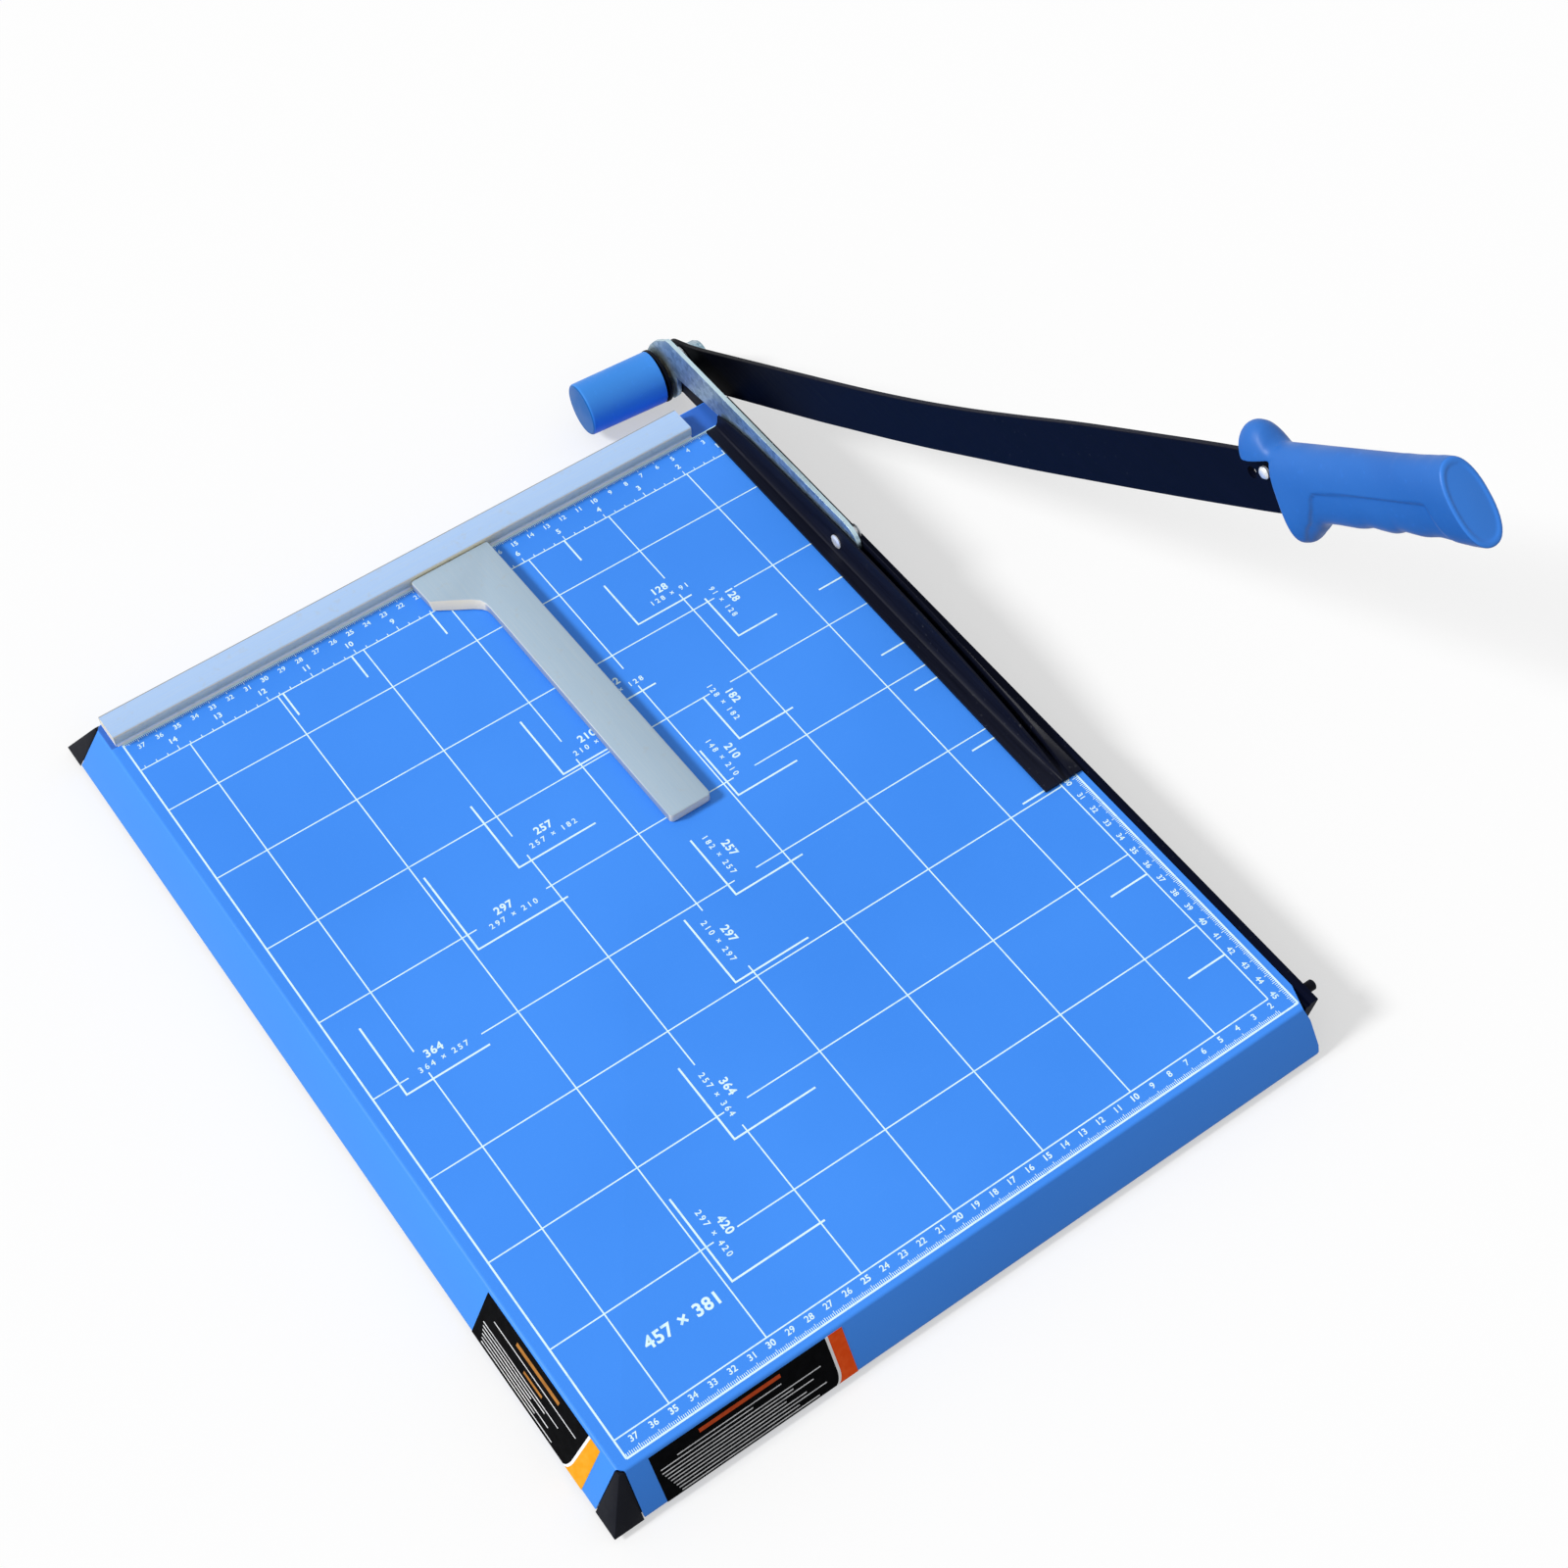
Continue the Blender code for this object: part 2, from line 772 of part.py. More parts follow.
# The spring on the bolt, one unbroken tube along a helix
def make_spring():
    curl_points = 10
    wire_sides = 6
    count = spring_turns * curl_points + 1
    turn = np.arange(count) * 2 * math.pi / curl_points
    travel = spring_length - 2 * spring_wire - 2 * gap
    along = spring_left + gap + spring_wire + travel * np.arange(count) / (count - 1)
    line = np.stack([along, spring_radius * np.cos(turn), spring_radius * np.sin(turn)], axis=1)
    outward = np.stack([np.zeros(count), np.cos(turn), np.sin(turn)], axis=1)
    pitch = travel / spring_turns / (2 * math.pi * spring_radius)
    forward = np.stack([np.full(count, pitch), -np.sin(turn), np.cos(turn)], axis=1)
    forward /= np.linalg.norm(forward, axis=1, keepdims=True)
    side = np.cross(forward, outward)
    rings = []
    for index in range(count):
        spots = []
        for step in range(wire_sides):
            angle = 2 * math.pi * step / wire_sides
            lean = outward[index] * math.cos(angle) + side[index] * math.sin(angle)
            spots.append(line[index] + spring_wire * lean)
        rings.append(spots)
    add_piece("pivot_spring", loft(rings), zinc_steel, root, pivot)
    apart = np.linalg.norm(line[:, None] - line[None], axis=2)
    far = np.abs(np.arange(count)[:, None] - np.arange(count)[None]) >= curl_points // 2
    print("least gap of the spring to itself, mm:", round((apart[far].min() - 2 * spring_wire) * 1e3, 2))


make_spring()


# The hollow cap over the spring, pushed on a little askew
def make_cap():
    profile = [
        (-cap_length, cap_radius - cap_round),
        (-cap_length + cap_round / 2, cap_radius - cap_round / 2),
        (-cap_length + cap_round, cap_radius),
        (0, cap_radius),
        (0, cap_radius - cap_wall),
        (cap_wall - cap_length, cap_radius - cap_wall),
    ]
    place = (flange_left - cap_gap, pivot[1], pivot[2])
    add_piece("pivot_cap", turned(profile, round_steps), moulded_blue, root, place, spin=cap_tilt)


make_cap()


# The blade: a long lens of black steel, ground on its right side, with a tang inside the handle
def make_blade():
    heel_shares = (
        (-0.68, 0.22, -0.24), (-0.61, 0.35, -0.39), (-0.47, 0.43, -0.51), (-0.31, 0.455, -0.58),
        (0, 0.43, -0.61), (0.47, 0.39, -0.625),
    )
    edge_shares = (
        (0.061, 0.376, -0.627), (0.192, 0.376, -0.627), (0.27, 0.376, -0.624), (0.339, 0.378, -0.604),
        (0.41, 0.392, -0.580), (0.49, 0.435, -0.535), (0.575, 0.518, -0.463), (0.66, 0.639, -0.388),
        (0.75, 0.785, -0.285), (0.862, 0.925, -0.150), (0.973, 1.047, 0.004), (1.006, 1.067, 0.055),
    )
    tip_shares = (1.067, 0.110)
    rings = []

    def add_station(out, top, low):
        rings.append([
            (blade_left, -out, top),
            (blade_right, -out, top),
            (blade_right, -out, low + blade_grind),
            (blade_left + blade_edge, -out, low),
            (blade_left, -out, low),
        ])

    for out_share, top_share, low_share in heel_shares:
        add_station(blade_width * out_share, blade_width * top_share, blade_width * low_share)
    for out_share, top_share, low_share in edge_shares:
        add_station(blade_length * out_share, blade_width * top_share, blade_width * low_share)
    shoulder = handle_place + tang_shoulder
    add_station(shoulder, blade_width * tip_shares[0], blade_width * tip_shares[1])
    for out in (shoulder + gap, shoulder + tang_length):
        middle = -handle_drop / math.cos(handle_cant) + out * math.tan(handle_cant)
        add_station(out, middle + tang_height / 2, middle - tang_height / 2)
    made = add_piece("blade", loft(rings), black_steel, blade_joint)
    bore = rod(blade_left - overrun, blade_right + overrun, bolt_bore, round_steps)
    combine(made, "blade_bore", bore)
    return made


blade = make_blade()


# The grip's ring of points at one station: half-heights up and down, half-width, and where its step lies
def grip_ring(out, up, down, half, step_level, depth, slant):
    fullness = 2.3
    upper_points = 6
    lower_points = 5
    step_turn = math.radians(1.5)
    if step_level > 0:
        step_angle = math.asin((step_level / up) ** (fullness / 2))
    else:
        step_angle = -math.asin((-step_level / down) ** (fullness / 2))
    quarter = math.pi / 2
    upper = [(quarter + (step_angle - quarter) * n / upper_points, half) for n in range(upper_points + 1)]
    lower_start = step_angle - step_turn
    lower = [
        (lower_start + (-quarter - lower_start) * n / lower_points, half - depth)
        for n in range(lower_points + 1)
    ]
    side = []
    for angle, width in upper + lower:
        reach = max(math.cos(angle), 0) ** (2 / fullness) * width
        lift = abs(math.sin(angle)) ** (2 / fullness) * (up if angle > 0 else -down)
        side.append((reach, lift))
    side[0] = (0, side[0][1])
    side[-1] = (0, side[-1][1])
    around = [(-reach, lift) for reach, lift in side] + [(reach, lift) for reach, lift in side[-2:0:-1]]
    return [
        (blade_middle + across, -(out - slant * lift / handle_depth), lift - handle_drop)
        for across, lift in around
    ]


# The handle: a moulded grip with a guard, four finger hollows, a stepped side and a hood over the blade
def make_handle():
    # Along the grip, then above and below its middle, half-width, step, depth of step, and slant of the end
    grip_shares = (
        (0.000, 0.97, 1.56, 0.93, -1.50, 0, 0), (0.010, 0.98, 1.60, 0.98, -1.53, 0, 0),
        (0.024, 1.00, 1.60, 1.00, -1.52, 0, 0), (0.048, 1.00, 1.575, 1.00, -1.45, 0.15, 0),
        (0.072, 1.00, 1.50, 1.00, -1.27, 0.6, 0), (0.101, 1.00, 1.37, 1.00, -1.03, 1, 0),
        (0.133, 1.00, 1.23, 1.00, -0.86, 1, 0), (0.159, 1.00, 1.09, 1.00, -0.62, 1, 0),
        (0.184, 1.00, 1.01, 1.00, -0.42, 1, 0), (0.219, 1.00, 0.985, 1.00, -0.06, 1, 0),
        (0.251, 1.00, 0.98, 0.99, 0.05, 1, 0), (0.305, 1.00, 0.99, 0.98, 0.065, 1, 0),
        (0.367, 1.00, 1.00, 0.98, 0.075, 1, 0), (0.411, 1.00, 0.975, 0.97, 0.08, 1, 0),
        (0.454, 1.00, 0.93, 0.97, 0.085, 1, 0), (0.505, 1.00, 0.97, 0.97, 0.09, 1, 0.05),
        (0.556, 1.00, 1.00, 0.97, 0.095, 1, 0.12), (0.585, 1.00, 0.965, 0.97, 0.10, 1, 0.22),
        (0.610, 1.00, 0.91, 0.97, 0.105, 1, 0.30), (0.655, 1.00, 0.945, 0.98, 0.11, 1, 0.45),
        (0.705, 1.00, 0.975, 0.98, 0.115, 1, 0.60), (0.740, 1.01, 0.95, 0.99, 0.12, 1, 0.70),
        (0.776, 1.01, 0.925, 0.99, 0.125, 1, 0.80), (0.845, 1.02, 0.97, 1.00, 0.13, 1, 0.92),
        (0.868, 1.03, 0.985, 1.00, 0.13, 0.1, 0.95), (0.910, 1.04, 1.01, 1.00, 0.13, 0, 0.98),
        (0.955, 1.06, 1.03, 1.00, 0.13, 0, 1), (0.982, 1.06, 1.02, 0.99, 0.13, 0, 1),
        (0.995, 1.03, 0.99, 0.96, 0.13, 0, 1), (1.000, 0.99, 0.95, 0.92, 0.13, 0, 1),
    )
    half_depth = handle_depth / 2
    rings = []
    for along, up, down, wide, level, deep, slant in grip_shares:
        rings.append(grip_ring(
            handle_place + handle_length * along,
            half_depth * up,
            half_depth * down,
            handle_width / 2 * wide,
            half_depth * level,
            grip_step * deep,
            handle_slant * slant,
        ))
    made = add_piece("handle", loft(rings), moulded_blue, handle_frame)

    # The hood's rounded back, forward of the guard, with its rise and half-width
    hood_shares = (
        (1.015, 0.22, 0.28), (0.965, 0.455, 0.50), (0.875, 0.70, 0.72), (0.775, 0.853, 0.86),
        (0.65, 0.956, 0.955), (0.505, 1.0, 0.99), (0.375, 0.985, 0.985), (0.21, 0.86, 0.915),
        (0.10, 0.66, 0.86), (0.01, 0.46, 0.80), (-0.08, 0.34, 0.755), (-0.20, 0.28, 0.73),
        (-0.35, 0.24, 0.70), (-0.55, 0.18, 0.64),
    )
    hood_steps = 14
    tuck_share = 0.9
    hood_base = hood_foot - handle_drop
    hood_rings = []
    for out, rise, wide in hood_shares:
        crest = arc((0, 0), 1, 0, math.pi, hood_steps)
        spots = [(handle_width / 2 * wide * across, hood_rise * rise * up) for across, up in crest]
        spots += [(spots[-1][0] * tuck_share, 0), (spots[0][0] * tuck_share, 0)]
        y = hood_length * out - handle_place
        hood_rings.append([(blade_middle + across, y, hood_base + up) for across, up in spots])
    combine(made, "hood", loft(hood_rings), "UNION")
    return made


handle = make_handle()


# The slot in the handle that the blade and its tang sit in
def cut_tang_slot():
    front = overrun - (handle_place - hood_length)
    mouth_back = -(handle_place + tang_shoulder + gap * 3)
    tang_back = -(handle_place + tang_shoulder + tang_length + gap * 2)
    top = blade_width / 2 - handle_drop
    mouth_low = -handle_drop - handle_depth / 2
    tang_low = -handle_drop - tang_height / 2 - gap * 2
    outline = [
        (front, top),
        (front, mouth_low),
        (mouth_back, mouth_low),
        (mouth_back, tang_low),
        (tang_back, tang_low),
        (tang_back, top),
    ]
    combine(handle, "tang_slot", prism(outline, blade_left - gap, blade_right + gap, "X"))


cut_tang_slot()


# Two screws from the right that hold the tang in the handle
def make_handle_screws():
    along_shares = (0.22, 0.50)
    seat_share = 0.62
    reach_share = 0.55
    seat_x = blade_middle + handle_width / 2 * seat_share
    end_x = blade_middle - handle_width / 2 * reach_share
    for index, along_share in enumerate(along_shares):
        name = "handle_screw_" + str(index + 1)
        place = (0, -(handle_place + handle_length * along_share), -handle_drop)
        profile = [
            (end_x + gap, screw_radius),
            (seat_x + gap, screw_radius),
            (seat_x + gap, screw_head),
            (seat_x + gap + screw_head_height / 2, screw_head),
            (seat_x + gap + screw_head_height, screw_head - screw_head_height / 2),
        ]
        add_piece(name, turned(profile, small_steps), zinc_steel, handle_frame, place)
        hole = stepped_hole(end_x, seat_x, blade_middle + handle_width)
        combine(handle, name + "_hole", hole, place=place)
        tang_hole = rod(blade_left - overrun, blade_right + overrun, screw_radius + gap)
        combine(blade, name + "_tang_hole", tang_hole, place=place, parent=handle_frame)


make_handle_screws()


# The round-headed stud through the blade in front of the guard, and the open hole beside it
def make_stud():
    stud_place_share = 0.55
    hole_place_share = 1.03
    dome_shares = ((0.55, 1), (0.85, 0.8), (1, 0.45))
    head = stud_radius
    place = (0, hood_length * stud_place_share - handle_place, stud_rise - handle_drop)
    left = blade_left - gap
    right = blade_right + gap
    profile = [(left - head * up, stud_head * out) for up, out in dome_shares[::-1]]
    profile += [
        (left, stud_head),
        (left, stud_radius),
        (right, stud_radius),
        (right, stud_head),
        (right + head / 2, stud_head),
        (right + head, stud_radius),
    ]
    add_piece("blade_stud", turned(profile, small_steps), zinc_steel, handle_frame, place)
    stud_hole = rod(left - overrun, right + overrun, stud_radius + gap)
    combine(blade, "stud_hole", stud_hole, place=place, parent=handle_frame)
    open_place = (0, hood_length * hole_place_share - handle_place, blade_hole_rise - handle_drop)
    open_hole = rod(left - overrun, right + overrun, blade_hole)
    combine(blade, "open_hole", open_hole, place=open_place, parent=handle_frame)


make_stud()


# The press arm: a galvanised strip from the pivot to the rivet of the clamp bar
def make_press_arm():
    # Forward from the pivot as shares of the reach, up from the deck as shares of the arm's top
    outline_shares = (
        (0.0576, 1.0), (0.042, 0.965), (0.0307, 0.879), (0.005, 0.73), (-0.0232, 0.544),
        (-0.050, 0.27), (-0.069, -0.013), (-0.0735, -0.20), (-0.0732, -0.40), (-0.0625, -0.64),
        (-0.036, -0.825), (0, -0.90), (0.0388, -0.865), (0.068, -0.732), (0.087, -0.523),
        (0.0926, -0.335), (0.0926, 0.071), (0.235, 0.197), (0.3376, 0.268), (0.634, 0.218),
        (0.849, 0.120), (0.914, 0.105), (0.950, 0.150), (0.978, 0.270), (0.994, 0.420),
        (1.0, 0.600), (0.995, 0.760), (0.982, 0.880), (0.960, 0.965), (0.932, 1.0),
    )
    outline = [(pivot_back - arm_reach * out, arm_top * up) for out, up in outline_shares]
    made = add_piece("press_arm", prism(outline, arm_left, arm_right, "X"), zinc_steel, arm_joint, arm_home)
    bore = rod(arm_left - overrun, arm_right + overrun, bolt_bore, round_steps)
    combine(made, "arm_bore", bore, place=(0, 0, 0))
    hole = rod(-arm_thickness * 2, arm_thickness * 2, rivet_radius + gap)
    combine(made, "arm_rivet_hole", hole, place=Vector(rivet) - Vector(pivot))


make_press_arm()


# The clamp bar: a black casting with a foot flange, two walls round a groove and a sloping right face
def make_clamp_bar():
    # Along the bar, and the height of its walls
    wall_shares = (
        (0, 0.478), (0.02, 0.565), (0.05, 0.68), (0.095, 0.787), (0.14, 0.838), (0.197, 0.875),
        (0.28, 0.935), (0.366, 0.983), (0.45, 1.0), (0.54, 0.99), (0.62, 0.955), (0.70, 0.865),
        (0.773, 0.758), (0.858, 0.618), (0.925, 0.421), (0.97, 0.25), (1.0, 0.135),
    )
    fillet_shares = ((0.30, 0), (0.19, 0.06), (0.09, 0.22), (0.03, 0.5))
    slope_share = 0.85
    right = -knife_relief
    wall_left = groove_left - clamp_wall
    wall_right = groove_right + clamp_wall / 2
    foot_width = clamp_foot
    rings = []
    for along_share, height_share in wall_shares:
        y = -(clamp_start + clamp_length * along_share)
        left = right - foot_width - clamp_taper * along_share
        top = clamp_height * height_share
        rise = top - clamp_flange
        points = [(left, gap), (left, clamp_flange)]
        points += [
            (wall_left - (wall_left - left) * out, clamp_flange + rise * up)
            for out, up in fillet_shares
        ]
        points += [(wall_left, top), (wall_right, top)]
        points += [(right - gap, clamp_flange * slope_share), (right, gap)]
        rings.append([(x, y, z) for x, z in points])
    made = add_piece("clamp_bar", loft(rings), black_paint, clamp_joint, clamp_home)

    # The groove has a floor in front of the rivet and is open through behind it
    front = -(clamp_start + clamp_length) - overrun
    open_y = -rivet_back - rivet_head
    groove_outline = [
        (front, groove_floor),
        (open_y, groove_floor),
        (open_y, -overrun),
        (overrun, -overrun),
        (overrun, clamp_height + overrun),
        (front, clamp_height + overrun),
    ]
    combine(made, "clamp_groove", prism(groove_outline, groove_left, groove_right, "X"))
    seat_x = wall_left - rivet[0]
    hole = turned([
        (-clamp_foot, rivet_head + gap),
        (seat_x, rivet_head + gap),
        (seat_x, rivet_radius + gap),
        (clamp_foot, rivet_radius + gap),
    ], small_steps)
    combine(made, "clamp_rivet_hole", hole, place=(0, 0, 0))

    # The rivet through both walls and the arm
    left_head = seat_x - gap
    right_head = right - rivet[0]
    dome_share = 0.6
    profile = [
        (left_head - rivet_head_height, rivet_head * dome_share),
        (left_head - rivet_head_height / 2, rivet_head),
        (left_head, rivet_head),
        (left_head, rivet_radius),
        (right_head, rivet_radius),
        (right_head, rivet_head),
        (right_head + rivet_head_height / 2, rivet_head),
        (right_head + rivet_head_height, rivet_head * dome_share),
    ]
    add_piece("clamp_rivet", turned(profile, small_steps), zinc_steel, clamp_joint)


make_clamp_bar()


# The fence along the rear of the board, undercut at the deck as a track for the paper stop
def make_fence():
    screw_inset = 0.030
    screw_reach_share = 0.7
    right = -fence_side
    left = tray_left + fence_end
    low = gap
    corners = [
        ((track_depth, low), 0),
        ((track_depth, low + track_height), 0),
        ((0, low + track_height), 0),
        ((0, fence_height), fence_soft),
        ((fence_depth, fence_height), fence_soft),
        ((fence_depth, low), 0),
    ]
    fence = add_piece("fence", prism(rounded(corners), left, right, "X"), fence_plastic, root)
    places = {"fence_screw_left": left + screw_inset, "fence_screw_right": right - screw_inset}
    head = under_deck
    reach = fence_height * screw_reach_share
    for name, x in places.items():
        profile = [
            (head - screw_head_height, screw_head - screw_head_height / 2),
            (head - screw_head_height / 2, screw_head),
            (head, screw_head),
            (head, screw_radius),
            (reach - gap, screw_radius),
        ]
        place = (x, fence_depth * screw_reach_share, 0)
        add_piece(name, upright(turned(profile, small_steps)), zinc_steel, root, place)
        hole = upright(rod(head - overrun, reach, screw_radius + gap))
        combine(fence, name + "_hole", hole, place=place)
        combine(tray, name + "_deck_hole", hole, place=place)


make_fence()


# The paper stop: a plate that slides along the fence on a tongue in its track
def make_paper_stop():
    # Left from the right end of the head and forward from the fence, at the top and at the foot, then the
    # corner's radius. The head's front wall leans out to its foot
    outline_shares = (
        (0, 0, 0, 0, 0.04), (-1, 0, -1, 0, 0.04), (-0.985, 0.083, -0.975, 0.098, 0.03),
        (-0.755, 0.115, -0.760, 0.131, 0), (-0.589, 0.141, -0.600, 0.155, 0),
        (-0.514, 0.158, -0.530, 0.169, 0), (-0.489, 0.175, -0.495, 0.181, 0),
        (-0.484, 0.196, -0.485, 0.199, 0), (-0.478, 0.30, -0.478, 0.30, 0),
        (-0.458, 1.0, -0.458, 1.0, 0.05), (0.0535, 1.0, 0.0535, 1.0, 0.05),
    )
    tongue_inset_share = 0.06
    low = gap * 2
    rings = []
    for height, pick in ((low, 2), (low + stop_thickness, 0)):
        corners = [
            ((stop_head * row[pick], -gap - stop_reach * row[pick + 1]), stop_head * row[4])
            for row in outline_shares
        ]
        rings.append([(x, y, height) for x, y in rounded(corners)])
    made = add_piece("paper_stop", loft(rings), stop_plastic, stop_joint)
    soften(made, stop_soft)
    tongue = box(
        (stop_head * (tongue_inset_share - 1), -overrun, low + gap),
        (-stop_head * tongue_inset_share, track_depth - gap, track_height),
    )
    combine(made, "stop_tongue", tongue, "UNION")


make_paper_stop()


# Moves the whole cutter so that the origin is under the middle of its bounding box, on the table
def centre_on_table():
    bpy.context.view_layer.update()
    graph = bpy.context.evaluated_depsgraph_get()
    lows = []
    highs = []
    for piece in bpy.context.scene.objects:
        if piece.type != "MESH" or piece.hide_render:
            continue
        evaluated = piece.evaluated_get(graph)
        mesh = evaluated.to_mesh()
        points = np.empty(len(mesh.vertices) * 3, np.float32)
        mesh.vertices.foreach_get("co", points)
        world = np.array(evaluated.matrix_world)
        points = points.reshape(-1, 3) @ world[:3, :3].T + world[:3, 3]
        lows.append(points.min(axis=0))
        highs.append(points.max(axis=0))
        evaluated.to_mesh_clear()
    low = np.min(lows, axis=0)
    high = np.max(highs, axis=0)
    root.location = (-(low[0] + high[0]) / 2, -(low[1] + high[1]) / 2, -low[2])
    bpy.context.view_layer.update()
    print("moved by, mm:", [round(value * 1e3, 3) for value in root.location])
    print("size, mm:", [round(float(value) * 1e3, 2) for value in high - low])


centre_on_table()
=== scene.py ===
import json
import math

import bmesh
import bpy
import numpy as np
from mathutils import Matrix, Vector


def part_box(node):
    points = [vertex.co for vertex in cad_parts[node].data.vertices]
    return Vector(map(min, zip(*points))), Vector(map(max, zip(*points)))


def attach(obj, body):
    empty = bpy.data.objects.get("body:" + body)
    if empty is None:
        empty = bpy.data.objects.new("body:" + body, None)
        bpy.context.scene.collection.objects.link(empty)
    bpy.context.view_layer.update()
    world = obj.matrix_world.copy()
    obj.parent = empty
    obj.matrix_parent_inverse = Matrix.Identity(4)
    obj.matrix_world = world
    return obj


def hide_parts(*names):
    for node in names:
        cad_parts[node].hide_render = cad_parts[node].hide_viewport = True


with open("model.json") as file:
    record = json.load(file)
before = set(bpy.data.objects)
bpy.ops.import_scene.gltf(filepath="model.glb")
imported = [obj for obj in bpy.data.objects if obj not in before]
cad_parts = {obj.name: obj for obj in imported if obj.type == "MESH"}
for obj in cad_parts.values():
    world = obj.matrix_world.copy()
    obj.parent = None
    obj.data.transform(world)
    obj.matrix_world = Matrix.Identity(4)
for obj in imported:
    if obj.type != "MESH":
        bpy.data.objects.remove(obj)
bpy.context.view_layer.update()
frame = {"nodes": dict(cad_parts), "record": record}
scene = bpy.context.scene
print("frame loaded:", len(frame["nodes"]), "nodes")

# where things are, in metres, and how far the raised blade is turned about X, in degrees
place = {
    "edgeX": 0.19219,        # the cutting edge
    "fenceY": 0.205985,      # the front face of the fence
    "deckZ": 0.030,          # the top of the board
    "pivot": (0.19219, 0.263685, 0.0215),
    "bladeTurn": -31.5,
    "handleTurn": -36.6,
}


# A point of the board, from its distance left of the cutting edge and in front of the fence
def onBoard(across, down):
    return place["edgeX"] - across, place["fenceY"] - down


# Turns points of the blade's or the handle's own frame about the pivot and carries them to their place
def aboutPivot(points, turn):
    angle = math.radians(turn)
    c, s = math.cos(angle), math.sin(angle)
    x, y, z = np.asarray(points, float).T
    px, py, pz = place["pivot"]
    return np.stack([x + px, y * c - z * s + py, y * s + z * c + pz], 1)


# camera, light and floor
view = {
    "eye": (-0.34071, -0.648715, 1.0804),
    "right": (0.8154, -0.5779, -0.0348),
    "ahead": (0.3142, 0.4922, -0.8118),
    "lens": 60.71,           # millimetres, for the sensor below
    "sensor": 36.0,
    "nearest": 0.05,
    "furthest": 50,
}


# A camera at the eye point: it looks ahead, and its right side is squared to that
def addCamera():
    data = bpy.data.cameras.new("camera")
    data.lens = view["lens"]
    data.sensor_width = view["sensor"]
    data.clip_start = view["nearest"]
    data.clip_end = view["furthest"]
    camera = bpy.data.objects.new("camera", data)
    scene.collection.objects.link(camera)
    ahead = Vector(view["ahead"]).normalized()
    right = Vector(view["right"])
    right = (right - ahead * right.dot(ahead)).normalized()
    up = right.cross(ahead)
    turn = Matrix((right, up, -ahead)).transposed().to_4x4()
    camera.matrix_world = Matrix.Translation(view["eye"]) @ turn
    scene.camera = camera


addCamera()


# Adds a shader node, sets its options, and fills or links its inputs
def put(tree, kind, inputs=(), **options):
    node = tree.nodes.new("ShaderNode" + kind)
    for key, value in options.items():
        setattr(node, key, value)
    for key, value in dict(inputs).items():
        if isinstance(value, bpy.types.NodeSocket):
            tree.links.new(value, node.inputs[key])
        else:
            node.inputs[key].default_value = value
    return node


light = {
    "sky": 0.50,             # what the object gets from all round
    "key": 2.60,
    "keyFrom": (-0.75, 0.25, 0.61),
    "keySize": 13.0,         # degrees
    "floorSize": 12.0,
    "floorBounce": 0.20,     # tone of the floor as the object sees it
    "floorSeen": 0.50,       # tone of the floor as the camera sees it, which takes the shadow
    "floorGlow": 0.485,      # the white that the camera sees on top of that
    "floorRough": 0.9,
}


# White for the camera, for reflections and through glass, and a softer sky for the light on the object; one broad lamp
def addLight():
    scene.view_settings.view_transform = "Standard"
    world = bpy.data.worlds.new("studio")
    world.use_nodes = True
    tree = world.node_tree
    tree.nodes.clear()
    rays = put(tree, "LightPath")
    seen = put(tree, "Math", {0: rays.outputs["Is Camera Ray"], 1: rays.outputs["Is Glossy Ray"]}, operation="MAXIMUM")
    seen = put(tree, "Math", {0: seen.outputs[0], 1: rays.outputs["Is Transmission Ray"]}, operation="MAXIMUM")
    level = put(tree, "MapRange", {"Value": seen.outputs[0], "To Min": light["sky"], "To Max": 1.0})
    glow = put(tree, "Background", {"Color": (1, 1, 1, 1), "Strength": level.outputs[0]})
    out = put(tree, "OutputWorld", {"Surface": glow.outputs[0]})
    out.is_active_output = True
    scene.world = world
    data = bpy.data.lights.new("key", "SUN")
    data.energy = light["key"]
    data.angle = math.radians(light["keySize"])
    lamp = bpy.data.objects.new("key", data)
    lamp.rotation_mode = "QUATERNION"
    lamp.rotation_quaternion = (-Vector(light["keyFrom"])).to_track_quat("-Z", "Y")
    scene.collection.objects.link(lamp)


addLight()


# An empty material with its shader, ready for nodes
def freshMaterial(name, colour, roughness, metallic=0.0, specular=0.5):
    material = bpy.data.materials.new(name)
    material.use_nodes = True
    tree = material.node_tree
    tree.nodes.clear()
    shader = put(tree, "BsdfPrincipled", {
        "Base Color": (*colour, 1), "Roughness": roughness, "Metallic": metallic, "Specular IOR Level": specular,
    })
    put(tree, "OutputMaterial", {"Surface": shader.outputs[0]})
    return material, tree, shader


# Noise on the object's own coordinates, stretched and turned
def grain(tree, scale, detail=2.0, stretch=(1, 1, 1), turn=(0, 0, 0), rough=0.5):
    coords = put(tree, "TexCoord")
    mapping = put(tree, "Mapping", {"Vector": coords.outputs["Object"], "Rotation": turn, "Scale": stretch})
    noise = put(tree, "TexNoise", {"Vector": mapping.outputs[0], "Scale": scale, "Detail": detail, "Roughness": rough})
    return noise.outputs["Fac"]


# Carries a value from one range to another
def span(tree, value, low, high, toLow, toHigh):
    keys = ("From Min", "From Max", "To Min", "To Max")
    inputs = {"Value": value, **dict(zip(keys, (low, high, toLow, toHigh)))}
    return put(tree, "MapRange", inputs).outputs[0]


# Spots of noise, from a row of its scale, where they start, where they are full, and how much they show
def spots(tree, row, detail=4.0, **how):
    scale, start, full, share = row
    return span(tree, grain(tree, scale, detail, **how), start, full, 0.0, share)


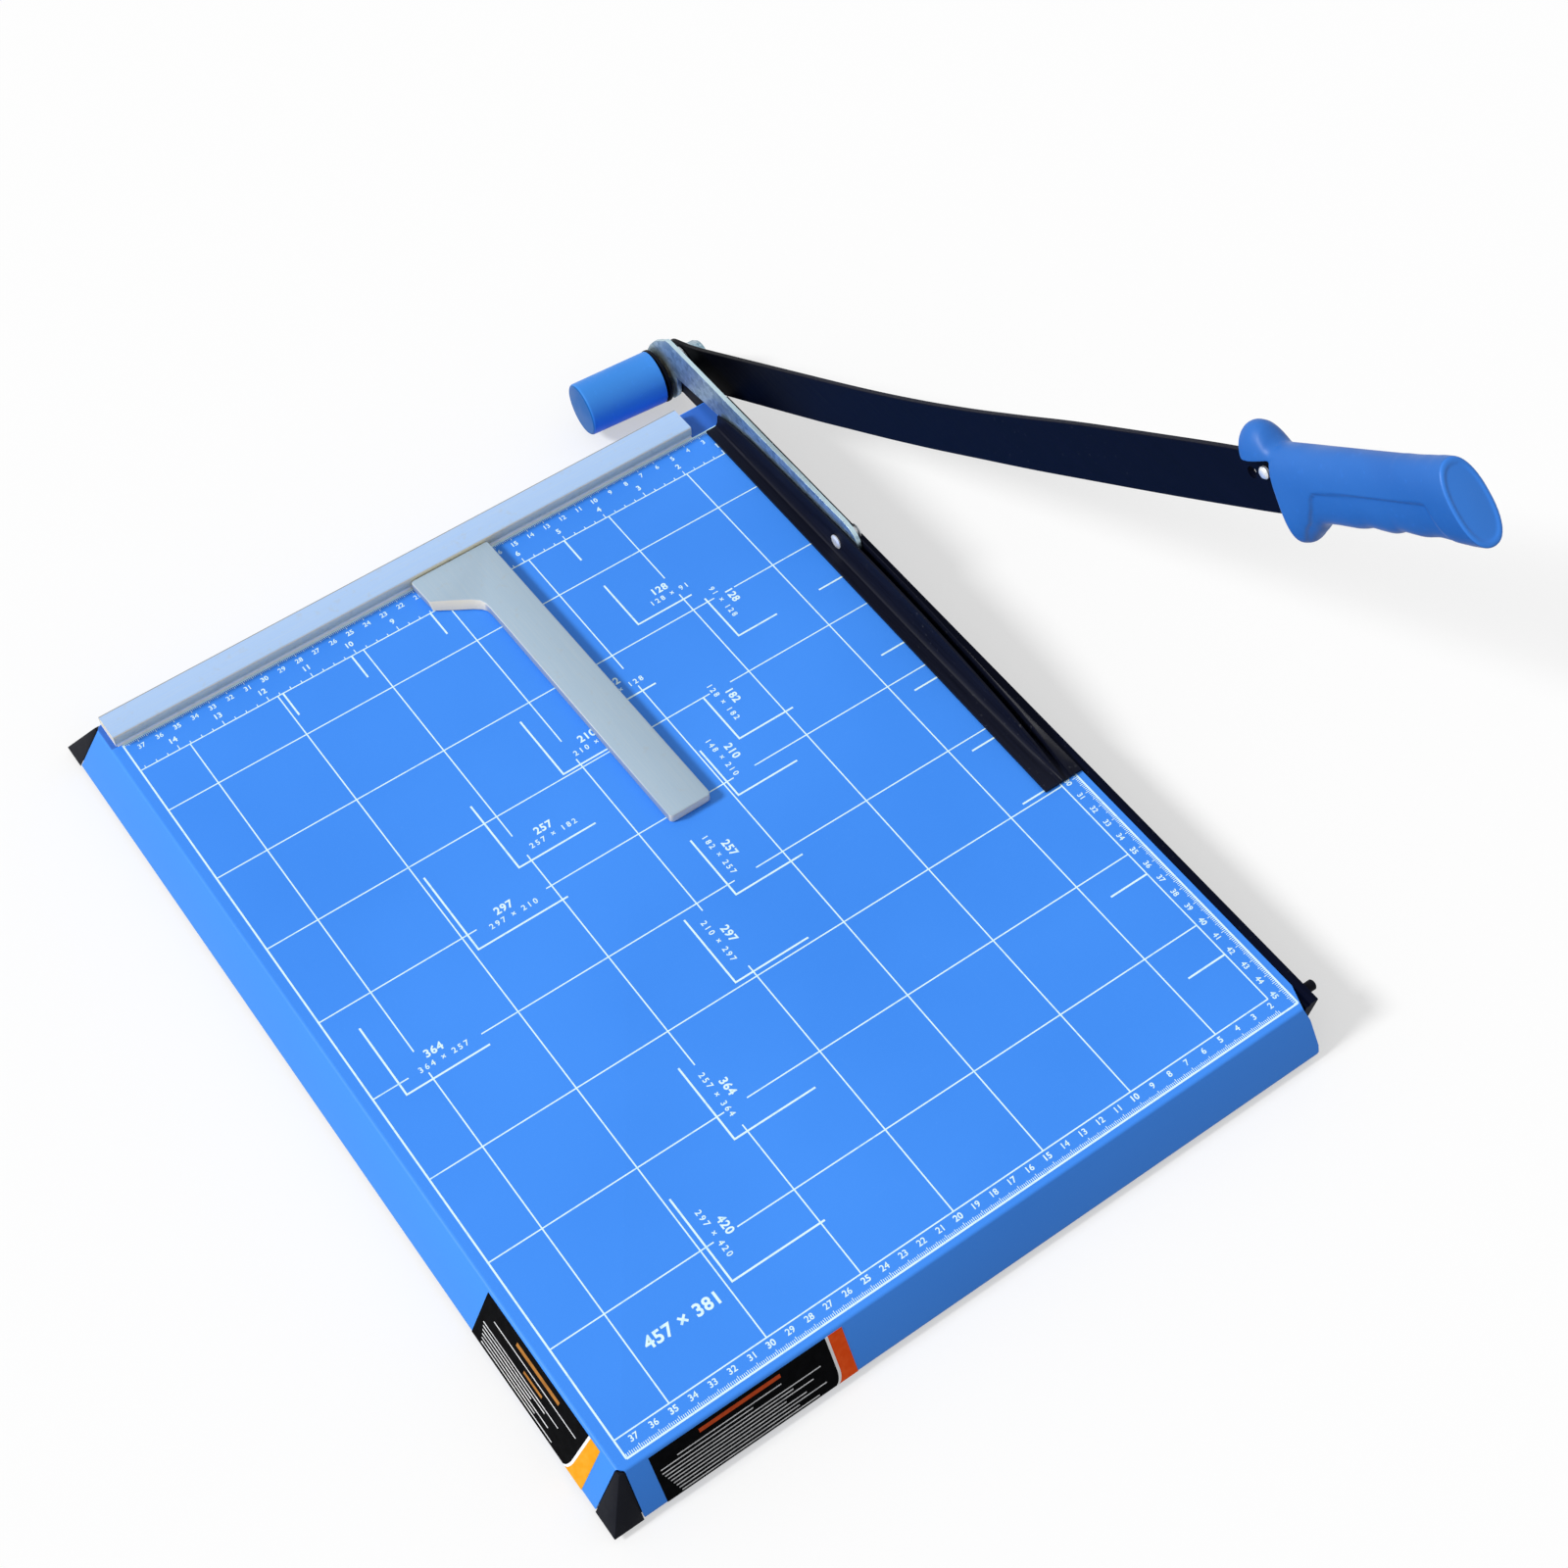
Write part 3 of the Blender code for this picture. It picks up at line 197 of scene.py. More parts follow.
# Mixes two colours, either of them a plain colour or the output of a node
def mixed(tree, factor, first, second):
    node = put(tree, "Mix", data_type="RGBA")
    for index, value in ((0, factor), (6, first), (7, second)):
        if isinstance(value, bpy.types.NodeSocket):
            tree.links.new(value, node.inputs[index])
        elif index == 0:
            node.inputs[index].default_value = value
        else:
            node.inputs[index].default_value = (*value, 1)
    return node.outputs[2]


# A bump from a height, on top of an earlier bump where there is one
def raised(tree, height, distance, earlier=None):
    inputs = {"Height": height, "Distance": distance, "Strength": 1.0}
    if earlier is not None:
        inputs["Normal"] = earlier
    return put(tree, "Bump", inputs).outputs[0]


# Adds, multiplies or compares two values
def mathNode(tree, operation, first, second=0.0):
    return put(tree, "Math", {0: first, 1: second}, operation=operation).outputs[0]


# Joins a colour, a roughness that follows a noise between two levels, and a bump to a shader
def joinUp(tree, shader, colour, noise, rough, bump, start=0.3):
    tree.links.new(colour, shader.inputs["Base Color"])
    tree.links.new(span(tree, noise, start, 0.7, *rough), shader.inputs["Roughness"])
    tree.links.new(bump, shader.inputs["Normal"])


# A wide pale sheet: half of what the camera sees on it is lit, the other half is its own white
def addFloor():
    half = light["floorSize"] / 2
    mesh = bpy.data.meshes.new("floor")
    mesh.from_pydata([(-half, -half, 0), (half, -half, 0), (half, half, 0), (-half, half, 0)], [], [(0, 1, 2, 3)])
    floor = bpy.data.objects.new("floor", mesh)
    scene.collection.objects.link(floor)
    material, tree, shader = freshMaterial("floorPaper", (1, 1, 1), light["floorRough"], specular=0.0)
    rays = put(tree, "LightPath")
    seen = mathNode(tree, "MAXIMUM", rays.outputs["Is Camera Ray"], rays.outputs["Is Glossy Ray"])
    bounce, shown = light["floorBounce"], light["floorSeen"]
    colour = mixed(tree, seen, (bounce, bounce, bounce), (shown, shown, shown))
    tree.links.new(colour, shader.inputs["Base Color"])
    shader.inputs["Emission Color"].default_value = (1, 1, 1, 1)
    tree.links.new(mathNode(tree, "MULTIPLY", seen, light["floorGlow"]), shader.inputs["Emission Strength"])
    mesh.materials.append(material)


addFloor()
print("camera, light and floor made")


# materials
# Faces that turn up, or along another axis, as a share from 0 to 1
def turnedUp(tree, low, high, axis="Z"):
    normal = put(tree, "NewGeometry").outputs["Normal"]
    return span(tree, put(tree, "SeparateXYZ", {"Vector": normal}).outputs[axis], low, high, 0.0, 1.0)


# Where a point lies beyond a level of one of the object's own axes, as a share that rises over a soft width
def beyond(tree, axis, level, soft, share=1.0):
    where = put(tree, "SeparateXYZ", {"Vector": put(tree, "TexCoord").outputs["Object"]})
    return span(tree, where.outputs[axis], level, level + soft, 0.0, share)


paintLook = {
    "blue": (0.056, 0.290, 0.965),
    "deep": (0.046, 0.262, 0.905),
    "dusty": (0.090, 0.330, 0.940),
    # painted shadow: the deck behind the fence is darkened as if shaded by the fence's end, the arm and the cap
    "shadeBehindFence": (0.026, 0.108, 0.470),        # the deck behind the fence
    "shadeBehindFenceSoft": 0.0006,
    "shadeBehindFenceShare": 0.85,
    # painted shade on the left wall: its darker tone, and how much of it shows
    "leftWall": (0.048, 0.258, 0.790),
    "leftWallShadeShare": 0.8,
    "specular": 0.22,
    "rough": (0.41, 0.45),
    "roughScale": 18.0,
    "driftScale": 6.0,
    "specks": (900.0, 0.66, 0.74, 0.35),
    "scratches": (60.0, 0.69, 0.72, 0.30),
    "crossed": (50.0, 0.70, 0.73, 0.25),
    "peelScale": 700.0,
    "peel": 0.00002,                         # depth of the orange peel, in metres
}


# Stoved blue paint: slow drifts of tone, a dusting of paler specks, orange peel and hairline scratches; a painted
# shadow darkens the deck behind the fence, and painted shade makes the left wall a little deeper
def makeBoardPaint():
    look = paintLook
    material, tree, shader = freshMaterial("boardPaint", look["blue"], look["rough"][0], specular=look["specular"])
    drift = span(tree, grain(tree, look["driftScale"], 3.0), 0.35, 0.68, 0.0, 1.0)
    colour = mixed(tree, drift, look["blue"], look["deep"])
    colour = mixed(tree, spots(tree, look["specks"], 2.0), colour, look["dusty"])
    scratch = spots(tree, look["scratches"], stretch=(1.0, 26.0, 1.0), turn=(0, 0, 0.5), rough=0.6)
    crossed = spots(tree, look["crossed"], stretch=(30.0, 1.0, 1.0), turn=(0, 0, 0.2), rough=0.6)
    marks = mathNode(tree, "MAXIMUM", scratch, crossed)
    colour = mixed(tree, marks, colour, look["dusty"])
    # painted shadow on the faces that turn up behind the fence
    behind = beyond(tree, "Y", place["fenceY"], look["shadeBehindFenceSoft"], look["shadeBehindFenceShare"])
    behind = mathNode(tree, "MULTIPLY", behind, turnedUp(tree, 0.90, 0.98))
    colour = mixed(tree, behind, colour, look["shadeBehindFence"])
    # painted shade: faces that turn left take the darker left-wall tone
    wall = mathNode(tree, "MULTIPLY", turnedUp(tree, -0.80, -0.88, "X"), look["leftWallShadeShare"])
    colour = mixed(tree, wall, colour, look["leftWall"])
    bump = raised(tree, grain(tree, look["peelScale"], 2.0), look["peel"])
    bump = raised(tree, marks, -look["peel"], bump)
    joinUp(tree, shader, colour, grain(tree, look["roughScale"], 4.0), look["rough"], bump)
    return material


# Two tones and the roughness of each plastic
plasticLook = {
    "handle": ((0.017, 0.130, 0.480), (0.025, 0.153, 0.530), 0.42),
    "cap": ((0.044, 0.246, 0.740), (0.056, 0.276, 0.800), 0.40),
    "black": ((0.0045, 0.0055, 0.0100), (0.009, 0.010, 0.015), 0.50),
}
plasticGrain = {
    "driftScale": 28.0,
    "rubs": (340.0, 0.62, 0.75, 0.35),
    "rubTone": (1.25, 0.004),                # times the second tone, and more
    "roughScale": 60.0,
    "roughBy": (-0.05, 0.10),
    "spark": (2600.0, 0.000012),             # scale and depth
    "flow": (220.0, 0.00002),
}
# Painted light and shade: the handle's end face is painted lighter and the cap's end face darker than their sides
# The end faces of the handle and the cap: the way they face, how far out they start, and their tone
endPaintedLight = {
    "handle": ((0.0, -0.57155, 0.82057), 0.46370, (1.35, 1.35, 1.35)),
    "cap": ((-0.99724, 0.07428, 0.0), -0.10624, (0.05, 0.42, 0.49)),
}
endPaintedLightSoft = 0.0003


# Moulded plastic: a fine spark texture, faint flow marks and paler rubbed patches; an end face may get painted light
# or shade
def makeMoulded(name, kind, flow=(1.0, 1.0, 1.0), specular=0.5):
    look = plasticGrain
    first, second, rough = plasticLook[kind]
    material, tree, shader = freshMaterial(name, first, rough, specular=specular)
    drift = span(tree, grain(tree, look["driftScale"], 3.0, flow), 0.35, 0.65, 0.0, 1.0)
    colour = mixed(tree, drift, first, second)
    times, more = look["rubTone"]
    colour = mixed(tree, spots(tree, look["rubs"], 3.0), colour, tuple(min(1.0, c * times + more) for c in second))
    # painted light on the handle's end face and painted shade on the cap's end face
    if kind in endPaintedLight:
        facing, start, tone = endPaintedLight[kind]
        coords = put(tree, "TexCoord").outputs["Object"]
        out = put(tree, "VectorMath", {0: coords, 1: facing}, operation="DOT_PRODUCT").outputs["Value"]
        onPaintedEnd = span(tree, out, start - endPaintedLightSoft, start, 0.0, 1.0)
        colour = mixed(tree, onPaintedEnd, colour, tuple(min(1.0, c * share) for c, share in zip(second, tone)))
    bump = raised(tree, grain(tree, look["spark"][0], 2.0), look["spark"][1])
    bump = raised(tree, grain(tree, look["flow"][0], 2.0, flow), look["flow"][1], bump)
    sheen = [rough + by for by in look["roughBy"]]
    joinUp(tree, shader, colour, grain(tree, look["roughScale"], 3.0), sheen, bump)
    return material


# Two tones, roughness and gloss of each blackened steel
blackLook = {
    "blade": ((0.0012, 0.0024, 0.0100), (0.0026, 0.0044, 0.0175), 0.42, 0.03),
    "beam": ((0.0022, 0.0028, 0.0060), (0.0055, 0.0062, 0.0110), 0.45, 0.06),
    "clamp": ((0.0030, 0.0040, 0.0110), (0.0065, 0.0080, 0.0190), 0.42, 0.08),
}
blackWear = {
    "worn": (0.20, 0.21, 0.23),
    "root": (0.0004, 0.0006, 0.0020),
    "rootZone": (0.13, 0.09, 0.92),          # where it starts, how softly, and how much it shows
    "brushScale": 24.0,
    "rubs": (420.0, 0.66, 0.74, 1.0),
    "patches": (14.0, 0.50, 0.66, 0.18),
    "fineScale": 900.0,
    "depth": 0.000012,
    "roughBy": (-0.06, 0.10),
}


# Blackened or black painted steel, brushed along one way, with small bright rubs; the blade darkens to its pivot
def makeBlack(name, kind, along=(40.0, 1.0, 40.0), turn=(0, 0, 0)):
    wear = blackWear
    first, second, rough, specular = blackLook[kind]
    material, tree, shader = freshMaterial(name, first, rough, specular=specular)
    brushed = grain(tree, wear["brushScale"], 4.0, along, turn, 0.6)
    colour = mixed(tree, span(tree, brushed, 0.35, 0.70, 0.0, 1.0), first, second)
    rub = mathNode(tree, "MULTIPLY", spots(tree, wear["rubs"]), spots(tree, wear["patches"], 2.0))
    colour = mixed(tree, rub, colour, wear["worn"])
    if kind == "blade":
        colour = mixed(tree, beyond(tree, "Y", *wear["rootZone"]), colour, wear["root"])
    bump = raised(tree, brushed, wear["depth"])
    bump = raised(tree, grain(tree, wear["fineScale"], 2.0), wear["depth"], bump)
    joinUp(tree, shader, colour, brushed, [rough + by for by in wear["roughBy"]], bump)
    return material


# Two tones, roughness, metal share and how much is tarnished
metalLook = {
    "arm": ((0.215, 0.315, 0.390), (0.510, 0.640, 0.715), 0.44, 1.0, 0.35),
    "bolt": ((0.360, 0.400, 0.440), (0.660, 0.700, 0.740), 0.26, 1.0, 0.35),
    "pivot": ((0.130, 0.230, 0.300), (0.420, 0.560, 0.640), 0.22, 1.0, 0.40),
    "rivet": ((0.740, 0.770, 0.800), (0.860, 0.880, 0.900), 0.36, 0.5, 0.12),
    "ground": ((0.62, 0.64, 0.67), (0.80, 0.82, 0.84), 0.24, 1.0, 0.10),
    "brass": ((0.46, 0.30, 0.14), (0.62, 0.42, 0.20), 0.32, 1.0, 0.40),
    "channel": ((0.40, 0.43, 0.46), (0.56, 0.59, 0.61), 0.40, 1.0, 0.40),
}
metalWear = {
    "tarnish": (0.060, 0.075, 0.090),
    # painted highlight on faces that turn up
    "topHighlight": (0.560, 0.720, 0.780),
    "lineScale": 60.0,
    "dullScale": 90.0,
    "depth": 0.00001,
    "roughBy": (-0.08, 0.16),
}


# Plated steel: crystal patches and fine turning lines, dulled here and there; faces that turn up may take a painted
# highlight
def makeMetal(name, kind, along=(1.0, 1.0, 1.0), turn=(0, 0, 0), crystal=260.0, topHighlight=0.0):
    wear = metalWear
    first, second, rough, metallic, dulled = metalLook[kind]
    material, tree, shader = freshMaterial(name, first, rough, metallic=metallic)
    coords = put(tree, "TexCoord")
    cells = put(tree, "TexVoronoi", {"Vector": coords.outputs["Object"], "Scale": crystal})
    flakes = put(tree, "SeparateColor", {"Color": cells.outputs["Color"]}).outputs[0]
    colour = mixed(tree, span(tree, flakes, 0.0, 1.0, 0.15, 0.85), first, second)
    lines = grain(tree, wear["lineScale"], 4.0, along, turn, 0.65)
    colour = mixed(tree, span(tree, lines, 0.52, 0.75, 0.0, 0.55), colour, second)
    dull = spots(tree, (wear["dullScale"], 0.58, 0.72, dulled), 5.0, rough=0.65)
    colour = mixed(tree, dull, colour, wear["tarnish"])
    # painted highlight: faces that turn up are made paler
    if topHighlight:
        edge = mathNode(tree, "MULTIPLY", turnedUp(tree, 0.70, 0.90), topHighlight)
        colour = mixed(tree, edge, colour, wear["topHighlight"])
    sheen = [rough + by for by in wear["roughBy"]]
    joinUp(tree, shader, colour, lines, sheen, raised(tree, lines, wear["depth"]))
    return material


stripLook = {
    "fenceTop": (0.415, 0.600, 0.905),
    # the fence's side tone is lighter and warmer than its top: partly the plastic's colour, partly painted light
    "fenceSide": (0.920, 0.850, 0.640),
    "fenceRear": (0.300, 0.320, 0.340),
    "stopTop": (0.365, 0.480, 0.590),
    # the stop's side tone is likewise lighter than its top: partly the plastic's colour, partly painted light
    "stopSide": (0.740, 0.695, 0.590),
    "stopLeftShade": (0.230, 0.300, 0.430),       # painted shade on its left side, tinted by a painted reflection of the board's blue
    "felt": (0.930, 0.960, 1.000),
    "specular": 0.4,
    "rough": (0.34, 0.50),
    "roughScale": 40.0,
    "streaks": (30.0, 0.45, 0.75, 0.10),
    "grime": (220.0, 0.60, 0.75, 0.22),
    "grimeTone": 0.55,
    "pores": (1400.0, 0.000012),             # scale and depth
    "draw": (40.0, 0.000015),
    "rearLine": 0.0155,                      # where the rear line starts, behind the fence's front face
    "footLine": 0.0021,                      # and the foot line ends, above the board
    "line": 0.0002,                          # softness of these two
}


# Extruded plastic: faces that turn up take one tone and the others another, with a duller line along the rear edge, a
# pale one along the foot and painted shade on the left where these are given; the side tones are partly painted light
def makeStrip(name, topKey, sideKey, along, rear=None, foot=None, leftShadeKey=None):
    look = stripLook
    material, tree, shader = freshMaterial(name, look[topKey], look["rough"][0], specular=look["specular"])
    # faces that don't turn up take the side tone, which is partly painted light
    colour = mixed(tree, turnedUp(tree, 0.55, 0.85), look[sideKey], look[topKey])
    if leftShadeKey is not None:
        # painted shade on faces that turn left
        colour = mixed(tree, turnedUp(tree, -0.90, -0.98, "X"), colour, look[leftShadeKey])
    colour = mixed(tree, spots(tree, look["streaks"], stretch=along, rough=0.6), colour, look[sideKey])
    if rear is not None:
        colour = mixed(tree, beyond(tree, "Y", rear, look["line"]), colour, look["fenceRear"])
    if foot is not None:
        where = put(tree, "SeparateXYZ", {"Vector": put(tree, "TexCoord").outputs["Object"]})
        below = span(tree, where.outputs["Z"], foot, foot + look["line"], 1.0, 0.0)
        colour = mixed(tree, below, colour, look["felt"])
    colour = mixed(tree, spots(tree, look["grime"]), colour, tuple(c * look["grimeTone"] for c in look[sideKey]))
    bump = raised(tree, grain(tree, look["pores"][0], 2.0), look["pores"][1])
    bump = raised(tree, grain(tree, look["draw"][0], 3.0, along), look["draw"][1], bump)
    joinUp(tree, shader, colour, grain(tree, look["roughScale"], 3.0), look["rough"], bump)
    return material


inkLook = {
    "fresh": (0.76, 0.98, 1.00),
    "thin": (0.44, 0.76, 1.00),
    "specular": 0.3,
    "rub": (260.0, 0.54, 0.74, 0.70),
    "rough": (0.42, 0.60),
    "roughScale": 500.0,
    "screen": (3000.0, 0.000006),            # scale and depth
}


# Screen printed ink, a little thin where it has been rubbed
def makeInk():
    look = inkLook
    material, tree, shader = freshMaterial("printInk", look["fresh"], look["rough"][0], specular=look["specular"])
    colour = mixed(tree, spots(tree, look["rub"]), look["fresh"], look["thin"])
    bump = raised(tree, grain(tree, look["screen"][0]), look["screen"][1])
    joinUp(tree, shader, colour, grain(tree, look["roughScale"]), look["rough"], bump)
    return material


# Two tones and the gloss of each printed film
labelLook = {
    "black": ((0.0015, 0.0016, 0.0020), (0.0035, 0.0037, 0.0045), 0.012),
    "orange": ((0.92, 0.090, 0.010), (0.98, 0.12, 0.02), 0.04),
    "amber": ((0.84, 0.35, 0.012), (0.88, 0.40, 0.03), 0.04),
    "white": ((0.96, 0.97, 0.98), (0.88, 0.89, 0.91), 0.04),
    "rule": ((0.85, 0.86, 0.88), (0.60, 0.61, 0.63), 0.04),
    "title": ((0.62, 0.085, 0.020), (0.50, 0.060, 0.015), 0.04),
    "amberTitle": ((0.46, 0.195, 0.04), (0.34, 0.14, 0.03), 0.04),
}
filmGrain = {
    "mottleScale": 300.0,
    "rough": (0.30, 0.50),
    "roughScale": 90.0,
    "scuff": (160.0, 0.00001),               # scale and depth
}


# Printed film of a sticker, with a faint mottle and slightly matt scuffs
def makeFilm(name, kind):
    look = filmGrain
    first, second, specular = labelLook[kind]
    material, tree, shader = freshMaterial(name, first, look["rough"][0], specular=specular)
    mottle = span(tree, grain(tree, look["mottleScale"], 4.0), 0.4, 0.7, 0.0, 1.0)
    bump = raised(tree, grain(tree, look["scuff"][0]), look["scuff"][1])
    noise = grain(tree, look["roughScale"], 3.0)
    joinUp(tree, shader, mixed(tree, mottle, first, second), noise, look["rough"], bump, start=0.35)
    return material


rubberLook = {
    "black": (0.012, 0.012, 0.012),
    "dust": (0.045, 0.044, 0.042),
    "specular": 0.3,
    "bloom": (500.0, 0.45, 0.75, 0.6),
    "rough": (0.65, 0.90),
    "roughScale": 200.0,
    "pores": (1800.0, 0.00003),              # scale and depth
}


# Black rubber with a dusty bloom
def makeRubber():
    look = rubberLook
    material, tree, shader = freshMaterial("footRubber", look["black"], look["rough"][0], specular=look["specular"])
    colour = mixed(tree, spots(tree, look["bloom"]), look["black"], look["dust"])
    bump = raised(tree, grain(tree, look["pores"][0]), look["pores"][1])
    joinUp(tree, shader, colour, grain(tree, look["roughScale"]), look["rough"], bump)
    return material


# The blade's finishes run along it, the fence's across the board and the stop's down it
alongBlade = -math.radians(place["bladeTurn"])
looks = {
    "boardPaint": makeBoardPaint(),
    "handlePlastic": makeMoulded("handlePlastic", "handle", (1.0, 0.25, 1.0), 0.30),
    "capPlastic": makeMoulded("capPlastic", "cap", (0.3, 1.0, 1.0), 0.12),
    "cornerPlastic": makeMoulded("cornerPlastic", "black", specular=0.06),
    "bladeBlack": makeBlack("bladeBlack", "blade", turn=(alongBlade, 0, 0)),
    "beamBlack": makeBlack("beamBlack", "beam"),
    "clampBlack": makeBlack("clampBlack", "clamp"),
    "armZinc": makeMetal("armZinc", "arm", (30.0, 1.0, 30.0), crystal=420.0, topHighlight=0.80),
    "boltZinc": makeMetal("boltZinc", "bolt", crystal=900.0),
    "rivetNickel": makeMetal("rivetNickel", "rivet", crystal=900.0),
    "pivotZinc": makeMetal("pivotZinc", "pivot", crystal=700.0),
    "channelZinc": makeMetal("channelZinc", "channel", (1.0, 30.0, 30.0), crystal=120.0),
    "groundSteel": makeMetal("groundSteel", "ground", (2.0, 40.0, 2.0), (alongBlade, 0, 0), 1200.0),
    "washerBrass": makeMetal("washerBrass", "brass", crystal=1200.0),
    "fenceStrip": makeStrip("fenceStrip", "fenceTop", "fenceSide", (1.0, 40.0, 40.0),
                            place["fenceY"] + stripLook["rearLine"], place["deckZ"] + stripLook["footLine"]),
    "fenceFelt": makeStrip("fenceFelt", "felt", "felt", (1.0, 40.0, 40.0)),
    "stopStrip": makeStrip("stopStrip", "stopTop", "stopSide", (40.0, 1.0, 40.0), leftShadeKey="stopLeftShade"),
    "printInk": makeInk(),
    "filmBlack": makeFilm("filmBlack", "black"),
    "filmOrange": makeFilm("filmOrange", "orange"),
    "filmAmber": makeFilm("filmAmber", "amber"),
    "filmWhite": makeFilm("filmWhite", "white"),
    "filmRule": makeFilm("filmRule", "rule"),
    "filmTitle": makeFilm("filmTitle", "title"),
    "filmAmberTitle": makeFilm("filmAmberTitle", "amberTitle"),
    "footRubber": makeRubber(),
}
print("materials made:", len(looks))


# surfaces
# The points of a mesh as an array of rows
def pointsOf(mesh):
    points = np.empty(len(mesh.vertices) * 3)
    mesh.vertices.foreach_get("co", points)
    return points.reshape(-1, 3)


# Puts an array of rows back into a mesh
def setPoints(mesh, points):
    mesh.vertices.foreach_set("co", points.ravel())
    mesh.update()


# Smooth shading all over, but for edges that turn more than an angle in degrees
def smoothTo(mesh, angle):
    mesh.polygons.foreach_set("use_smooth", np.ones(len(mesh.polygons), bool))
    mesh.set_sharp_from_angle(angle=math.radians(angle))


# Puts arrays of points and faces into a new object that rides on a body
def addPiece(name, points, faces, material, body, slot, smooth=True):
    mesh = bpy.data.meshes.new(name)
    mesh.from_pydata(np.asarray(points, float).tolist(), [], [list(face) for face in faces])
    mesh.polygons.foreach_set("use_smooth", np.full(len(mesh.polygons), smooth))
    mesh.materials.append(looks[material])
    mesh.validate()
    piece = bpy.data.objects.new(name, mesh)
    scene.collection.objects.link(piece)
    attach(piece, body)
    return piece


# Turns every face of a closed mesh outward; with a distance it first merges near points and closes small gaps
def outward(mesh, near=0.0):
    work = bmesh.new()
    work.from_mesh(mesh)
    if near:
        bmesh.ops.remove_doubles(work, verts=work.verts, dist=near)
        bmesh.ops.dissolve_degenerate(work, dist=near, edges=work.edges)
        gaps = [edge for edge in work.edges if edge.is_boundary]
        if gaps:
            bmesh.ops.holes_fill(work, edges=gaps, sides=8)
    bmesh.ops.recalc_face_normals(work, faces=work.faces)
    work.to_mesh(mesh)
    work.free()


# Faces of a grid of rows by columns, closed round where asked
def gridFaces(rows, columns, closed=False):
    i = np.arange(rows - 1)[:, None]
    j = np.arange(columns if closed else columns - 1)[None, :]
    k = (j + 1) % columns
    quads = np.stack([i * columns + j, i * columns + k, (i + 1) * columns + k, (i + 1) * columns + j], -1)
    return quads.reshape(-1, 4)


dressLook = {
    "merge": 0.000004,       # points nearer than this are one
    "flat": 0.5,             # edges that turn less than this are dropped, in degrees
    "sharp": 32.0,           # edges that turn more than this stay sharp, and are the ones that are rounded
    "segments": 2,
}


# A merged copy of a CAD piece with smooth shading and small rounded edges, which stands for it
def dress(node, material, body, edge=0.0):
    mesh = frame["nodes"][node].data.copy()
    mesh.name = node + "Skin"
    mesh.materials.clear()
    mesh.materials.append(looks[material])
    work = bmesh.new()
    work.from_mesh(mesh)
    bmesh.ops.remove_doubles(work, verts=work.verts, dist=dressLook["merge"])
    bmesh.ops.dissolve_limit(work, angle_limit=math.radians(dressLook["flat"]), verts=work.verts, edges=work.edges)
    for face in work.faces:
        face.material_index = 0
    work.to_mesh(mesh)
    work.free()
    smoothTo(mesh, dressLook["sharp"])
    piece = bpy.data.objects.new(node + "Skin", mesh)
    scene.collection.objects.link(piece)
    if edge:
        bevel = piece.modifiers.new("edges", "BEVEL")
        bevel.width = edge
        bevel.segments = dressLook["segments"]
        bevel.limit_method = "ANGLE"
        bevel.angle_limit = math.radians(dressLook["sharp"])
        bevel.harden_normals = True
        bevel.use_clamp_overlap = True
    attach(piece, body)
    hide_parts(node)
    return piece


# Which body and finish each CAD piece gets, with the softness of its edges, and the material slot that the record
# gives it
bodyOf = {node: body for body, nodes in frame["record"]["behaviour"]["bodies"].items() for node in nodes}
slotOf = {part["node"]: part["material_slot"] for part in frame["record"]["subparts"]}
finishes = {
    "base_tray": ("boardPaint", 0.0),
    "corner_cap_front_left": ("cornerPlastic", 0.0004),
    "corner_cap_rear_left": ("cornerPlastic", 0.0004),
    "channel_front": ("channelZinc", 0.0003),
    "channel_rear": ("channelZinc", 0.0003),
    "foot_front_left": ("footRubber", 0.0),
    "foot_front_right": ("footRubber", 0.0),
    "foot_rear_left": ("footRubber", 0.0),
    "foot_rear_right": ("footRubber", 0.0),
    "side_beam": ("beamBlack", 0.0003),
    "pivot_lug": ("beamBlack", 0.0003),
    "counter_knife": ("bladeBlack", 0.00008),
    "knife_screw_1": ("beamBlack", 0.0),
    "knife_screw_2": ("beamBlack", 0.0),
    "knife_screw_3": ("beamBlack", 0.0),
    "knife_screw_4": ("beamBlack", 0.0),
    "stop_pin": ("beamBlack", 0.0),
    "fence": ("fenceStrip", 0.0),
    "fence_screw_left": ("boltZinc", 0.0),
    "fence_screw_right": ("boltZinc", 0.0),
    "pivot_bolt": ("pivotZinc", 0.0002),
    "pivot_spacer": ("boltZinc", 0.0001),
    "pivot_washer": ("boltZinc", 0.0002),
    "brass_washer": ("washerBrass", 0.0001),
    "flange_washer": ("beamBlack", 0.0002),
    "spring_seat": ("boltZinc", 0.0001),
    "pivot_spring": ("boltZinc", 0.0),
    "pivot_nut": ("boltZinc", 0.0002),
    "blade_stud": ("rivetNickel", 0.0),
    "handle_screw_1": ("boltZinc", 0.0),
    "handle_screw_2": ("boltZinc", 0.0),
    "press_arm": ("armZinc", 0.0002),
    "clamp_bar": ("clampBlack", 0.0002),
    "clamp_rivet": ("rivetNickel", 0.0),
    "paper_stop": ("stopStrip", 0.0),
}
skins = {node: dress(node, look, bodyOf[node], edge) for node, (look, edge) in finishes.items()}
print("CAD pieces dressed:", len(skins))


